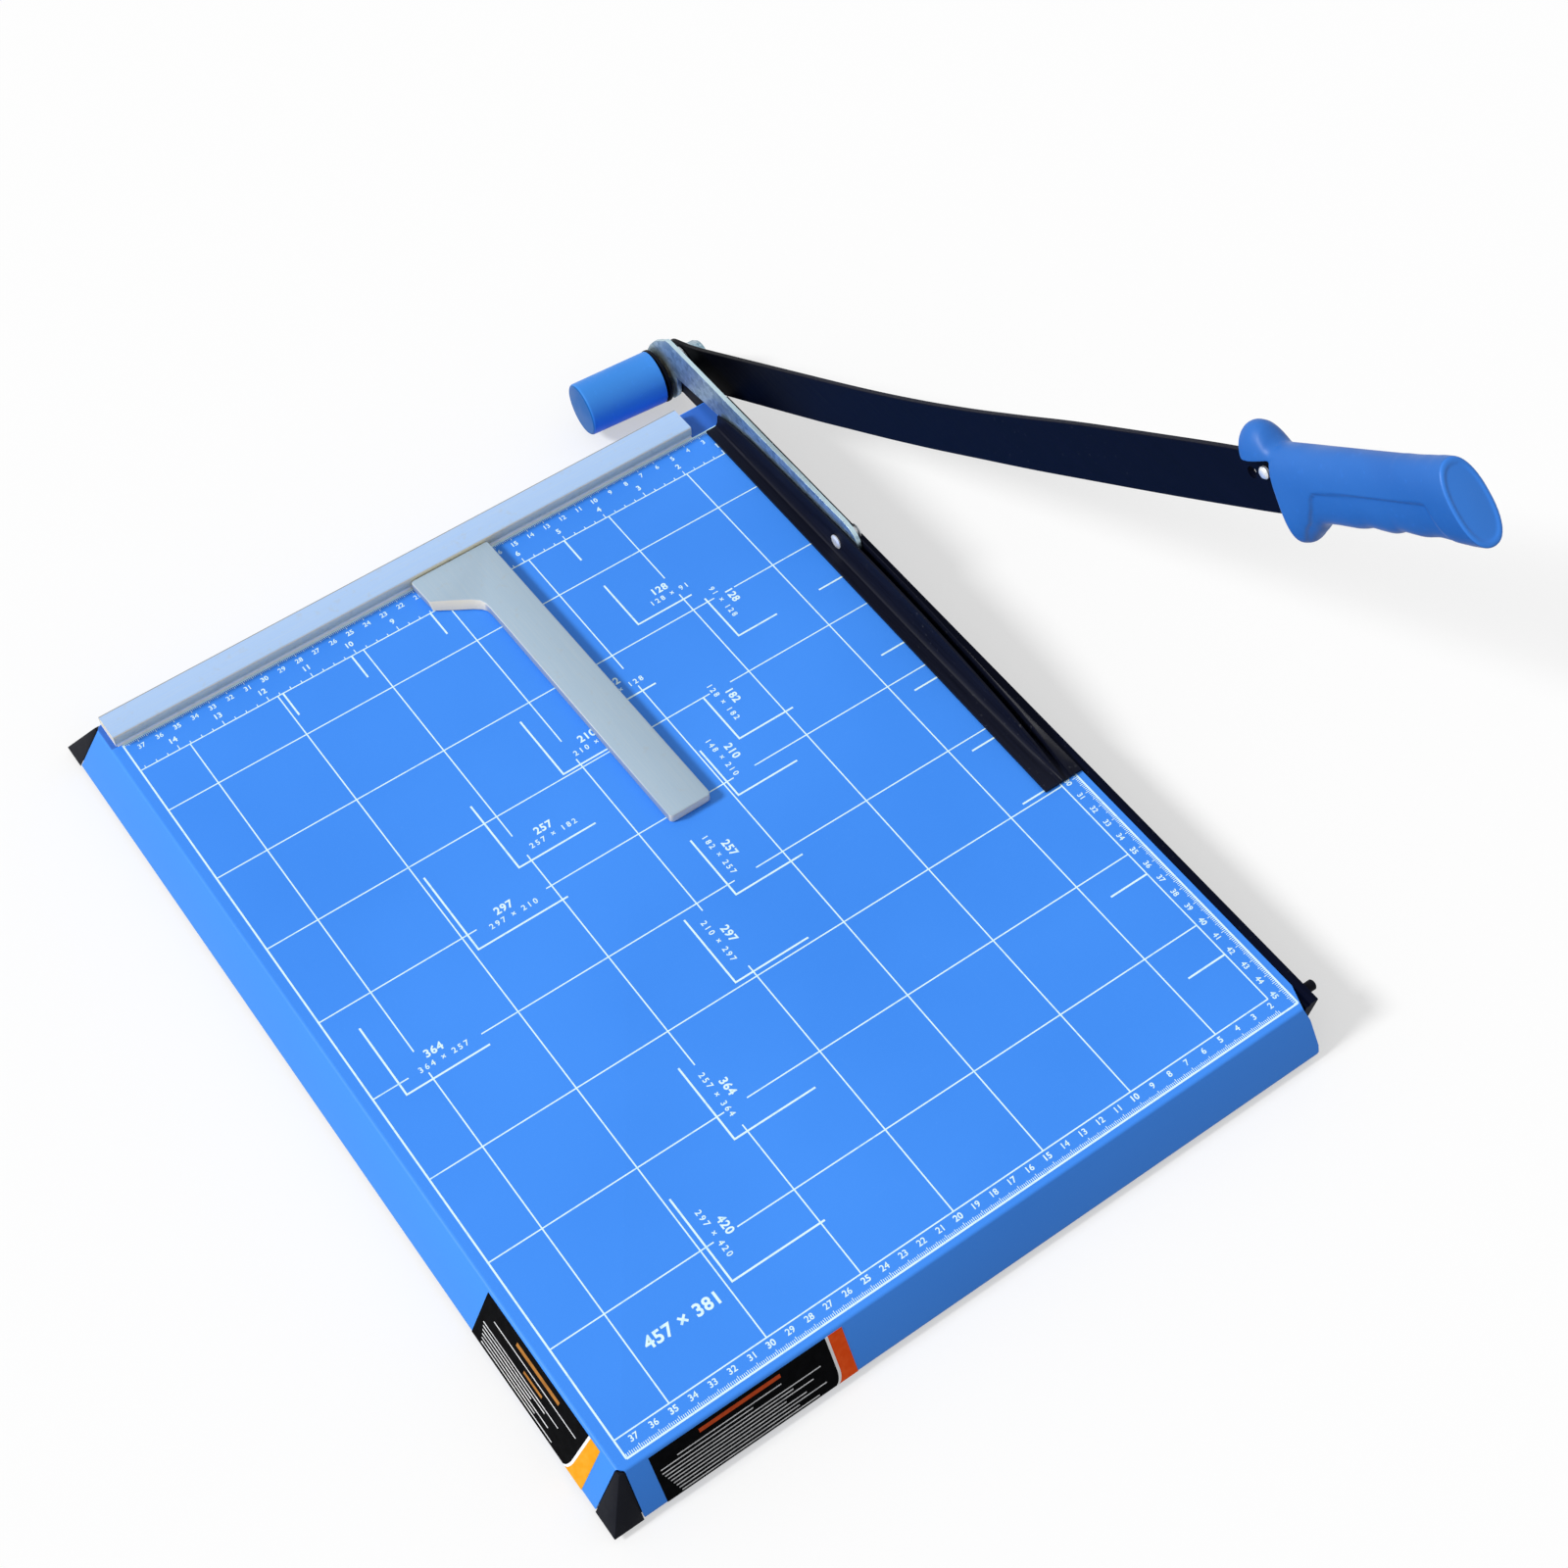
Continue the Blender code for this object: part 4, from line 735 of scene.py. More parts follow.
# the fence's groove and the stop's tongue, which are shallow where they show, the felt in the groove's foot, and the
# fence's own ends
track = {
    "deep": 0.0036,          # the groove in the solid, and as it shows
    "shown": 0.0006,
    "tongue": 0.0033,        # the tongue in the solid, and as it shows
    "tongueShown": 0.0003,
    "near": 0.0001,          # how near a point has to be to such a level
    "felt": 0.00026,
    "feltDepth": 0.005,
    "lift": 0.00002,         # how far the felt keeps from board and fence
    "endZone": 0.0010,       # the fence's left end, and its step to the left
    "endBy": -0.0008,
    "rearZone": 0.0145,      # its rear edge, and its step back
    "rearBy": 0.0006,
}


# Moves the points of a skin that lie between two levels of one axis by a step along it
def shiftPoints(piece, axis, low, high, by):
    points = pointsOf(piece.data)
    there = (points[:, axis] > low) & (points[:, axis] < high)
    points[there, axis] += by
    setPoints(piece.data, points)
    print(piece.name, "points moved:", int(there.sum()))


for node, was, now in (("fence", "deep", "shown"), ("paper_stop", "tongue", "tongueShown")):
    depth = place["fenceY"] + track[was]
    shiftPoints(skins[node], 1, depth - track["near"], depth + track["near"], track[now] - track[was])


boxFaces = [(3, 2, 1, 0), (4, 5, 6, 7), (0, 1, 5, 4), (1, 2, 6, 5), (2, 3, 7, 6), (3, 0, 4, 7)]


# A box as a closed piece, from its low and high corners
def addBox(name, low, high, material, body, slot):
    x, y, z = np.array([(low[k], high[k]) for k in range(3)])
    points = np.array([(x[i], y[j], z[k]) for k in (0, 1) for i, j in ((0, 0), (1, 0), (1, 1), (0, 1))])
    return addPiece(name, points, boxFaces, material, body, slot, smooth=False)


fenceLow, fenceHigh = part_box("fence")
shiftPoints(skins["fence"], 0, -1.0, fenceLow[0] + track["endZone"], track["endBy"])
shiftPoints(skins["fence"], 1, place["fenceY"] + track["rearZone"], 1.0, track["rearBy"])
addBox("fenceFelt", (fenceLow[0], place["fenceY"] + track["lift"], place["deckZ"] + track["lift"]),
       (fenceHigh[0], place["fenceY"] + track["feltDepth"], place["deckZ"] + track["felt"]),
       "fenceFelt", "board", slotOf["fence"])


# the print on the board
printLook = {
    "thick": 0.00004,        # how far the ink stands up
    "level": 0.000006,       # how far one coat lies over the next, so that no two faces share a plane
    "numberCoat": 7,
    "sunk": 0.00006,
    "grid": 0.00066,         # widths of the lines
    "frame": 0.00090,
    "bold": 0.00095,
    "tick": 0.00034,
    "inchTick": 1.3,         # times the width of a tick
    "left": 0.3778,          # places of the long lines, across from the cutting edge and down from the fence
    "right": 0.0088,
    "rightInner": 0.0185,
    "rear": 0.0005,
    "ruler": 0.0200,
    "front": 0.4500,
    "frontOuter": 0.4597,
    "step": 0.05,
    "inch": 0.0254,
    "rearTicks": (0.0015, 0.0020, 0.0026),   # lengths at every 1, 5 and 10 mm
    "frontTicks": (0.0021, 0.0025, 0.0029),
    "rightTicks": (0.0020, 0.0026, 0.0032),
    "inchTicks": (0.0017, 0.0030),
    "acrossRun": range(19, 378),             # millimetres that have a tick
    "downRun": range(20, 460),
}
# Brackets of the paper sizes: corner across and down, then the legs along and back, in centimetres and millimetres
sizeMarks = {
    "long": [
        (12.8, 9.1, 33.0, 32.4), (18.2, 12.8, 40.0, 36.0), (21.0, 14.8, 40.0, 40.3), (25.7, 18.2, 43.8, 44.9),
        (29.7, 21.0, 50.0, 50.4), (36.4, 25.7, 44.4, 43.2),
    ],
    "tall": [
        (9.1, 12.8, 23.9, 30.8), (12.8, 18.2, 32.5, 31.6), (14.8, 21.0, 35.1, 33.5), (18.2, 25.7, 38.8, 38.8),
        (21.0, 29.7, 41.5, 42.8), (25.7, 36.4, 44.5, 45.0), (29.7, 42.0, 49.3, 48.6),
    ],
    "rearTicks": (12.8, 18.2, 21.0, 25.7, 29.7),
    "rightTicks": (12.8, 18.2, 21.0, 25.7, 29.7, 36.4, 42.0),
    "rearTickLength": 0.017,
    "rightTickLength": 0.022,
}
# How far the clear space of a label reaches from its bracket's corner: right, and left of that; back, and less far
labelRoom = {
    "long": (0.044, 0.005, 0.0175, 0.004),
    "tall": (0.0165, 0.004, 0.042, 0.004),
}


# Boxes for straight lines of ink: each row is low across, high across, low down, high down, coat
def inkBoxes(rows):
    rows = np.asarray(rows, float)
    x0, y1 = place["edgeX"] - rows[:, 1], place["fenceY"] - rows[:, 2]
    x1, y0 = place["edgeX"] - rows[:, 0], place["fenceY"] - rows[:, 3]
    z0 = np.full(len(rows), place["deckZ"] - printLook["sunk"])
    z1 = place["deckZ"] + printLook["thick"] + printLook["level"] * rows[:, 4]
    corners = [(x, y, z) for z in (z0, z1) for x, y in ((x0, y0), (x1, y0), (x1, y1), (x0, y1))]
    points = np.stack([np.stack(corner, -1) for corner in corners], 1).reshape(-1, 3)
    faces = (np.arange(len(rows))[:, None, None] * 8 + np.array(boxFaces)).reshape(-1, 4)
    return points, faces


# Cuts a run of a line where it crosses the clear space round a label
def clearedRuns(low, high, fixed, spaces, alongFirst):
    runs = [(low, high)]
    for a0, a1, d0, d1 in spaces:
        s0, s1, f0, f1 = (a0, a1, d0, d1) if alongFirst else (d0, d1, a0, a1)
        if not f0 < fixed < f1:
            continue
        cut = []
        for start, end in runs:
            if s1 <= start or s0 >= end:
                cut.append((start, end))
                continue
            if s0 > start:
                cut.append((start, s0))
            if s1 < end:
                cut.append((s1, end))
        runs = cut
    return runs


# Clear spaces of the labels, across and down
def labelSpaces():
    spaces = []
    for kind, (far, near, back, less) in labelRoom.items():
        for across, down, *_ in sizeMarks[kind]:
            a, d = across / 100, down / 100
            spaces.append((a - far, a - near, d - back, d - less))
    return spaces


# Which of three tick lengths a millimetre has
def tickLevel(mm):
    return 2 if mm % 10 == 0 else (1 if mm % 5 == 0 else 0)


# Every straight line of the print, as rows for inkBoxes: the grid, the frame, the rulers' ticks and the brackets
def gatherLines():
    look = printLook
    rows = []

    def alongX(low, high, down, width, coat=0):
        rows.append((low, high, down - width / 2, down + width / 2, coat))

    def alongY(low, high, across, width, coat=1):
        rows.append((across - width / 2, across + width / 2, low, high, coat))

    spaces = labelSpaces()
    for n in range(1, 8):                       # the five centimetre grid
        across = look["step"] * n
        for low, high in clearedRuns(look["ruler"], look["front"], across, spaces, False):
            alongY(low, high, across, look["grid"])
    for n in range(1, 9):
        down = look["step"] * n
        for low, high in clearedRuns(look["rightInner"], look["left"], down, spaces, True):
            alongX(low, high, down, look["grid"])
    alongX(look["rightInner"], look["left"], look["ruler"], look["grid"])
    alongX(look["rightInner"], look["left"], look["front"], look["grid"])
    alongY(look["ruler"], look["front"], look["rightInner"], look["grid"])
    alongX(look["right"], look["left"], look["rear"], look["frame"], 2)
    alongX(look["right"], look["left"], look["frontOuter"], look["frame"], 2)
    alongY(look["rear"], look["frontOuter"], look["left"], look["frame"], 3)
    alongY(look["ruler"], look["frontOuter"], look["right"], look["frame"], 3)

    for mm in look["acrossRun"]:                # millimetre ticks of the rear and front rulers
        across = mm / 1000
        alongY(look["rear"], look["rear"] + look["rearTicks"][tickLevel(mm)], across, look["tick"])
        alongY(look["frontOuter"] - look["frontTicks"][tickLevel(mm)], look["frontOuter"], across, look["tick"])
    for mm in look["downRun"]:                  # and of the ruler along the cutting edge
        alongX(look["right"], look["right"] + look["rightTicks"][tickLevel(mm)], mm / 1000, look["tick"])
    for quarter in range(4, 60):                # quarter inches on the inner rear line
        across = look["inch"] * quarter / 4
        if look["rightInner"] < across < look["left"]:
            reach = look["inchTicks"][1 if quarter % 4 == 0 else 0]
            alongY(look["ruler"] - reach, look["ruler"], across, look["tick"] * look["inchTick"], 4)

    for across, down, legX, legY in sizeMarks["long"] + sizeMarks["tall"]:
        a, d = across / 100, down / 100
        alongX(a - legX / 1000, a + look["bold"] / 2, d, look["bold"], 4)
        alongY(d - legY / 1000, d + look["bold"] / 2, a, look["bold"], 5)
    for across in sizeMarks["rearTicks"]:
        alongY(look["ruler"], look["ruler"] + sizeMarks["rearTickLength"], across / 100, look["bold"], 5)
    for down in sizeMarks["rightTicks"]:
        alongX(look["rightInner"], look["rightInner"] + sizeMarks["rightTickLength"], down / 100, look["bold"], 4)
    return rows


lineRows = gatherLines()
addPiece("boardLines", *inkBoxes(lineRows), "printInk", "board", "board_blue", smooth=False)
print("ink lines:", len(lineRows))


# Number shapes, each made once from the built-in letters and kept as arrays
def makeNumberCutter():
    curve = bpy.data.curves.new("numberPattern", "FONT")
    curve.align_x = "CENTER"
    curve.align_y = "CENTER"
    curve.resolution_u = 3
    curve.extrude = 0.5
    pattern = bpy.data.objects.new("numberPattern", curve)
    scene.collection.objects.link(pattern)
    kept = {}

    # The points and faces of a word, one unit high, with its ink spread by weight
    def shape(word, weight, spacing):
        key = (word, weight, spacing)
        if key not in kept:
            curve.body = word
            curve.offset = weight
            curve.space_character = spacing
            bpy.context.view_layer.update()
            mesh = bpy.data.meshes.new_from_object(pattern, depsgraph=bpy.context.evaluated_depsgraph_get())
            outward(mesh, numberLook["merge"])
            points = pointsOf(mesh)
            faces = [tuple(face.vertices) for face in mesh.polygons]
            low, high = points.min(0), points.max(0)
            points[:, :2] -= (low[:2] + high[:2]) / 2
            kept[key] = (points, faces)
            bpy.data.meshes.remove(mesh)
        return kept[key]

    return shape, pattern


numberLook = {
    "merge": 0.0001,                         # points of a shape nearer than this are one, at one unit high
    "ruler": 0.0044,                         # heights
    "inch": 0.0046,
    "big": 0.0060,
    "small": 0.0043,
    "size": 0.0088,
    "less": 0.92,                            # the rear and right rulers' numbers, as a share of the front one's
    "light": 0.016,                          # weights
    "plain": 0.014,
    "bold": 0.026,
    "bigSpread": 1.10,                       # spacings
    "smallSpread": 1.50,
    "sizeSpread": 1.08,
    "rearDown": 0.0062,                      # places
    "frontDown": 0.4533,
    "inchDown": 0.0128,
    "rightAcross": 0.0148,
    "sizeMark": ("457 × 381", 0.3250, 0.4222),
    "longBig": (0.0220, 0.0132),             # places of a bracket's labels, right of and behind its corner
    "longSmall": (0.0240, 0.0072),
    "tallBig": (0.0130, 0.0240),
    "tallSmall": (0.0066, 0.0235),
}


# Rows of the rulers' numbers and the brackets' labels: text, across, down, height, weight, spacing and turn
def gatherNumbers():
    look = numberLook
    rows = []
    for cm in range(2, 38):
        weight = look["bold"] if cm % 5 == 0 else look["plain"]
        if cm > 2:
            rows.append((str(cm), cm / 100, look["rearDown"], look["ruler"] * look["less"], weight, 1.0, 0.0))
        rows.append((str(cm), cm / 100, look["frontDown"], look["ruler"], weight, 1.0, 0.0))
    for cm in range(2, 46):
        weight = look["bold"] if cm % 5 == 0 else look["plain"]
        rows.append((str(cm), look["rightAcross"], cm / 100, look["ruler"] * look["less"], weight, 1.0, -90.0))
    for inch in range(1, 15):
        rows.append((str(inch), printLook["inch"] * inch, look["inchDown"], look["inch"], look["bold"], 1.0, 0.0))
    for kind, turn in (("long", 0.0), ("tall", -90.0)):
        bigX, bigY = look[kind + "Big"]
        smallX, smallY = look[kind + "Small"]
        for across, down, *_ in sizeMarks[kind]:
            a, d = across / 100, down / 100
            sides = round(across * 10), round(down * 10)
            words = f"{sides[0]} × {sides[1]}"
            rows.append((str(max(sides)), a - bigX, d - bigY, look["big"], look["bold"], look["bigSpread"], turn))
            rows.append((words, a - smallX, d - smallY, look["small"], look["light"], look["smallSpread"], turn))
    rows.append((*look["sizeMark"], look["size"], look["bold"], look["sizeSpread"], 0.0))
    return rows


# Every number on the board as one piece: each shape is turned, sized and set in its place
def printNumbers():
    shape, pattern = makeNumberCutter()
    rows = gatherNumbers()
    points, faces, count = [], [], 0
    thick = printLook["thick"] + printLook["sunk"] + printLook["level"] * printLook["numberCoat"]
    for words, across, down, height, weight, spacing, turn in rows:
        flat, around = shape(words, weight, spacing)
        c, s = math.cos(math.radians(turn)), math.sin(math.radians(turn))
        x, y = onBoard(across, down)
        points.append(np.stack([
            x + (flat[:, 0] * c - flat[:, 1] * s) * height,
            y + (flat[:, 0] * s + flat[:, 1] * c) * height,
            place["deckZ"] - printLook["sunk"] + (flat[:, 2] + 0.5) * thick,
        ], 1))
        faces += [tuple(count + v for v in face) for face in around]
        count += len(flat)
    bpy.data.objects.remove(pattern)
    addPiece("boardNumbers", np.concatenate(points), faces, "printInk", "board", "board_blue", smooth=False)
    print("numbers:", len(rows))


printNumbers()


# the two stickers
# A wall is a plane from its top edge to its bottom edge, with the side that it runs along
frontWall = {
    "along": (1.0, 0.0, 0.0), "top": (0.0, place["fenceY"] - 0.46365, 0.0297), "down": (0.0, -0.0128, -0.0270),
    "out": (0.0, -0.9036, 0.4284),
}
leftWall = {
    "along": (0.0, -1.0, 0.0), "top": (place["edgeX"] - 0.38415, 0.0, 0.0297), "down": (-0.0133, 0.0, -0.0270),
    "out": (-0.8970, 0.0, 0.4419),
}
sticker = {
    "thick": 0.00012,
    "high": 0.045,           # its upper and lower edges, as shares of the wall
    "low": 0.955,
    "rows": 25,
    "line": 0.0014,          # width of the divider
    "lineProud": 1.2,        # times the film's thickness
    "round": 0.0032,         # how far the divider rounds off, and from where
    "roundFrom": 0.70,
    "rule": 0.0095,          # half heights of a rule and a title bar, as shares of the wall
    "bar": 0.036,
    "ink": 0.00003,
    "frontRun": (0.3702, 0.2710),            # its ends, left of the cutting edge
    "leftRun": (0.3610, 0.4500),             # and in front of the fence
    "frontEnd": 0.0088,      # width of the coloured end
    "leftEnd": 0.0084,
    "leftLean": -0.0035,
}


# A closed patch of film on a wall: left and right edges are functions of the height share
def filmPatch(name, wall, leftEdge, rightEdge, high, low, lift, thick, material, columns=2):
    rows = sticker["rows"]
    v = np.linspace(high, low, rows)[:, None]
    u = np.linspace(0, 1, columns)[None, :]
    left = np.broadcast_to(leftEdge(v), (rows, 1))
    right = np.broadcast_to(rightEdge(v), (rows, 1))
    along = left + (right - left) * u
    base = (np.array(wall["top"]) + along[..., None] * np.array(wall["along"])
            + v[..., None] * np.array(wall["down"]))
    out = np.array(wall["out"])
    upper = (base + out * (lift + thick)).reshape(-1, 3)
    lower = (base + out * lift).reshape(-1, 3)
    count = rows * columns
    top = gridFaces(rows, columns)
    ring = list(range(columns)) + [r * columns + columns - 1 for r in range(1, rows)]
    ring += [(rows - 1) * columns + c for c in range(columns - 2, -1, -1)]
    ring += [r * columns for r in range(rows - 2, 0, -1)]
    after = ring[1:] + ring[:1]
    faces = [tuple(face) for face in top] + [tuple(face[::-1] + count) for face in top]
    faces += [(a, b, b + count, a + count) for a, b in zip(ring, after)]
    piece = addPiece(name, np.concatenate([upper, lower]), faces, material, "board", "board_blue", smooth=False)
    outward(piece.data)
    return piece


# One sticker: black film, a white divider that rounds off at its foot, a coloured end and plain bars and rules, each
# of them a row of height share, half its height, start and end in shares of the black field, and look
def addSticker(name, wall, start, end, divide, lean, colour, rules):
    s = sticker
    thick, high, low = s["thick"], s["high"], s["low"]

    # A line that leans with the height share and curves back over an ellipse near its foot
    def divider(v):
        foot = np.clip((v - s["roundFrom"]) / (low - s["roundFrom"]), 0, 1)
        return divide + lean * v - s["round"] * (1 - np.sqrt(1 - foot ** 2 * 0.98))

    def dividerEnd(v):
        return divider(v) + s["line"]

    filmPatch(name + "Black", wall, lambda v: start, divider, high, low, 0, thick, "filmBlack")
    filmPatch(name + "Divider", wall, divider, dividerEnd, high, low, 0, thick * s["lineProud"], "filmWhite")
    filmPatch(name + "End", wall, dividerEnd, lambda v: end, high, low, 0, thick, colour)
    field = divide - start
    for index, (v, half, first, last, look) in enumerate(rules):
        left, right = start + field * first, start + field * last
        filmPatch(f"{name}Rule{index + 1}", wall, lambda w: left, lambda w: right, v - half, v + half, thick,
                  s["ink"], look)


# The rules of both stickers: a title bar or two, the lines under it, and a block of lines of uneven length
def addStickers():
    s = sticker
    line, bar = s["rule"], s["bar"]
    rules = [(0.155, bar, 0.27, 0.73, "filmTitle"), (0.30, line, 0.13, 0.72, "filmRule"),
             (0.375, line, 0.03, 0.55, "filmRule")]
    for k in range(8):
        rules.append((0.45 + 0.066 * k, line, 0.03 + 0.008 * k, 0.93 - 0.055 * ((k * 3) % 5), "filmRule"))
    start, end = (place["edgeX"] - across for across in s["frontRun"])
    addSticker("frontSticker", frontWall, start, end, end - s["frontEnd"], 0.0, "filmOrange", rules)

    rules = [(0.20, bar, 0.32, 0.74, "filmAmberTitle"), (0.345, line, 0.12, 0.93, "filmRule"),
             (0.455, bar * 0.7, 0.44, 0.62, "filmAmberTitle")]
    for k in range(6):
        rules.append((0.56 + 0.066 * k, line, 0.05 + 0.008 * k, 0.80 - 0.06 * ((k * 2) % 5), "filmRule"))
    start, end = (-(place["fenceY"] - down) for down in s["leftRun"])
    addSticker("leftSticker", leftWall, start, end, end - s["leftEnd"], s["leftLean"], "filmAmber", rules)


addStickers()
print("stickers made")


# the handle
grip = {
    "start": 0.5355,         # out from the pivot
    "length": 0.1048,
    "depth": 0.0322,
    "width": 0.0176,
    "drop": 0.0308,          # of its middle line below the pivot's
    "middle": 0.0019,
    "slant": 0.0108,         # of the end face
    "step": 0.0011,          # of the sides, and how softly
    "stepSoft": 0.00012,
    "full": 2.3,             # power of the superellipses, and how much more it is under the guard
    "tip": 1.5,
    "tipReach": 0.09,
    "rim": 0.0010,
    "rows": 190,
    "around": 128,
    "cell": 0.00045,
    "merge": 0.000002,
    "ease": (0.5, 3),        # factor and rounds of smoothing
    "screws": (0.22, 0.50),  # places of the two screws, with their bores and wells
    "bore": 0.0022,
    "well": 0.0039,
    "boreEnd": -0.0029,
    "seat": 0.00736,
    "mouth": (0.0001, 0.0037, -0.018),       # left, right and top of the slot for the blade
    "mouthAhead": 0.004,
    "mouthBehind": 0.0043,
    "mouthSpare": 0.001,
    "sharp": 50,
}
# Along the grip: share, above, below, half-width, level of the side step, its depth, slant
gripTable = np.array([
    (0.000, 0.97, 1.56, 0.93, -1.50, 0, 0), (0.010, 0.98, 1.60, 0.98, -1.53, 0, 0),
    (0.024, 1.00, 1.60, 1.00, -1.52, 0.4, 0), (0.048, 1.00, 1.575, 1.00, -1.45, 0.9, 0),
    (0.072, 1.00, 1.50, 1.00, -1.27, 1, 0), (0.101, 1.00, 1.37, 1.00, -1.03, 1, 0),
    (0.133, 1.00, 1.23, 1.00, -0.86, 1, 0), (0.159, 1.00, 1.09, 1.00, -0.62, 1, 0),
    (0.184, 1.00, 1.01, 1.00, -0.42, 1, 0), (0.219, 1.00, 0.985, 1.00, -0.06, 1, 0),
    (0.251, 1.00, 0.98, 0.99, 0.05, 1, 0), (0.305, 1.00, 0.99, 0.98, 0.065, 1, 0),
    (0.367, 1.00, 1.00, 0.98, 0.075, 1, 0), (0.411, 1.00, 0.975, 0.97, 0.08, 1, 0),
    (0.454, 1.00, 0.93, 0.97, 0.085, 1, 0), (0.505, 1.00, 0.97, 0.97, 0.09, 1, 0.05),
    (0.556, 1.00, 1.00, 0.97, 0.095, 1, 0.12), (0.585, 1.00, 0.965, 0.97, 0.10, 1, 0.22),
    (0.610, 1.00, 0.91, 0.97, 0.105, 1, 0.30), (0.655, 1.00, 0.945, 0.98, 0.11, 1, 0.45),
    (0.705, 1.00, 0.975, 0.98, 0.115, 1, 0.60), (0.740, 1.01, 0.95, 0.99, 0.12, 1, 0.70),
    (0.776, 1.01, 0.925, 0.99, 0.125, 1, 0.80), (0.845, 1.02, 0.97, 1.00, 0.13, 1, 0.92),
    (0.868, 1.03, 0.985, 1.00, 0.13, 0.1, 0.95), (0.910, 1.04, 1.01, 1.00, 0.13, 0, 0.98),
    (0.955, 1.06, 1.03, 1.00, 0.13, 0, 1), (1.000, 1.06, 1.03, 1.00, 0.13, 0, 1),
])
# Rings of the end face: size as a share, and how far each is sunk
gripEnd = ((0.93, 0.0), (0.90, 0.00035), (0.86, 0.00045), (0.5, 0.0003), (0.15, 0.0002))
hood = {"length": 0.020, "rise": 0.0136, "foot": 0.0116, "rows": 60, "around": 48}
# Ahead of the guard in hood lengths: rise and half-width as shares
hoodTable = np.array([
    (1.015, 0.22, 0.28), (0.965, 0.455, 0.50), (0.875, 0.70, 0.72), (0.775, 0.853, 0.86), (0.65, 0.956, 0.955),
    (0.505, 1.0, 0.99), (0.375, 0.985, 0.985), (0.21, 0.86, 0.915), (0.10, 0.66, 0.86), (0.01, 0.46, 0.80),
    (-0.08, 0.34, 0.755), (-0.20, 0.28, 0.73), (-0.35, 0.24, 0.70), (-0.55, 0.18, 0.64),
])


# A table's columns at given places: cubic pieces whose slope at a row is the harmonic mean of the slopes on its two
# sides, or none at a crest, so that the curve never overshoots
def through(table, places):
    table = np.asarray(table, float)
    rows = table[::-1] if table[0, 0] > table[-1, 0] else table
    x, y = rows[:, 0], rows[:, 1:]
    step = np.diff(x)[:, None]
    rise = np.diff(y, axis=0) / step
    before, after = rise[:-1], rise[1:]
    same = before * after > 0
    middle = np.where(same, 2 * before * after / np.where(same, before + after, 1), 0)
    slope = np.concatenate([rise[:1], middle, rise[-1:]])
    k = np.clip(np.searchsorted(x, places, side="right") - 1, 0, len(x) - 2)
    h = step[k]
    t = (np.asarray(places) - x[k])[:, None] / h
    fromLow = y[k] * (1 + 2 * t) * (1 - t) ** 2 + slope[k] * h * t * (1 - t) ** 2
    fromHigh = y[k + 1] * t * t * (3 - 2 * t) + slope[k + 1] * h * t * t * (t - 1)
    return fromLow + fromHigh


# The grip: superellipses along the handle, their height and width from the table and the sides stepped in below a
# line; the last rings turn over a quarter circle into the end face, which is sunk a little inside its rim
def gripSurface():
    g = grip
    rim = g["rim"] / g["length"]
    turn = np.linspace(0, np.pi / 2, 8)[1:]
    body = np.concatenate([np.linspace(0, 1 - rim, g["rows"]), 1 - rim + rim * np.sin(turn)])
    inset = np.concatenate([np.zeros(g["rows"]), g["rim"] * (1 - np.cos(turn))])
    up, down, wide, level, deep, slant = through(gripTable, body).T
    half = g["depth"] / 2
    angle = np.linspace(0, 2 * np.pi, g["around"], endpoint=False)[None, :]
    c, s = np.cos(angle), np.sin(angle)
    reach = np.where(s > 0, up[:, None], down[:, None]) * half
    full = g["full"] + np.where(s < 0, g["tip"] * np.exp(-(body[:, None] / g["tipReach"]) ** 2), 0)
    lift = np.sign(s) * np.abs(s) ** (2 / full) * (reach - inset[:, None])
    below = 1 / (1 + np.exp(np.clip((lift - level[:, None] * half) / g["stepSoft"], -60, 60)))
    side = g["width"] / 2 * wide[:, None] - inset[:, None] - g["step"] * np.clip(deep, 0, 1)[:, None] * below
    across = np.sign(c) * np.abs(c) ** (2 / g["full"]) * side
    out = g["start"] + g["length"] * body[:, None] - slant[:, None] * g["slant"] * lift / g["depth"]
    rings = np.stack([g["middle"] + across, -out, lift - g["drop"]], -1)
    middle = rings[-1].mean(0)
    inner = []
    for share, sink in gripEnd:
        inner.append(middle + (rings[-1] - middle) * share + np.array([0, sink, 0]))
    return np.concatenate([rings, np.stack(inner)])


# The hood: half ellipses forward of the guard, on a flat base
def hoodSurface():
    g, h = grip, hood
    shares = np.linspace(hoodTable[0, 0], hoodTable[-1, 0], h["rows"])
    rise, wide = through(hoodTable, shares).T
    angle = np.linspace(0, np.pi, h["around"])[None, :]
    across = g["width"] / 2 * wide[:, None] * np.cos(angle)
    lift = h["rise"] * rise[:, None] * np.sin(angle)
    y = np.broadcast_to((h["length"] * shares - g["start"])[:, None], across.shape)
    return np.stack([g["middle"] + across, y, h["foot"] - g["drop"] + lift], -1)


# A closed mesh from rings, with both ends filled
def closedRings(rings):
    rows, columns = rings.shape[:2]
    faces = [tuple(face) for face in gridFaces(rows, columns, closed=True)]
    faces += [tuple(range(columns))[::-1], tuple(range((rows - 1) * columns, rows * columns))]
    return rings.reshape(-1, 3), faces


# A mesh that is worked on further or only cuts another
def tempMesh(name, points, faces):
    mesh = bpy.data.meshes.new(name)
    mesh.from_pydata(points.tolist(), [], faces)
    made = bpy.data.objects.new(name, mesh)
    scene.collection.objects.link(made)
    outward(made.data)
    return made


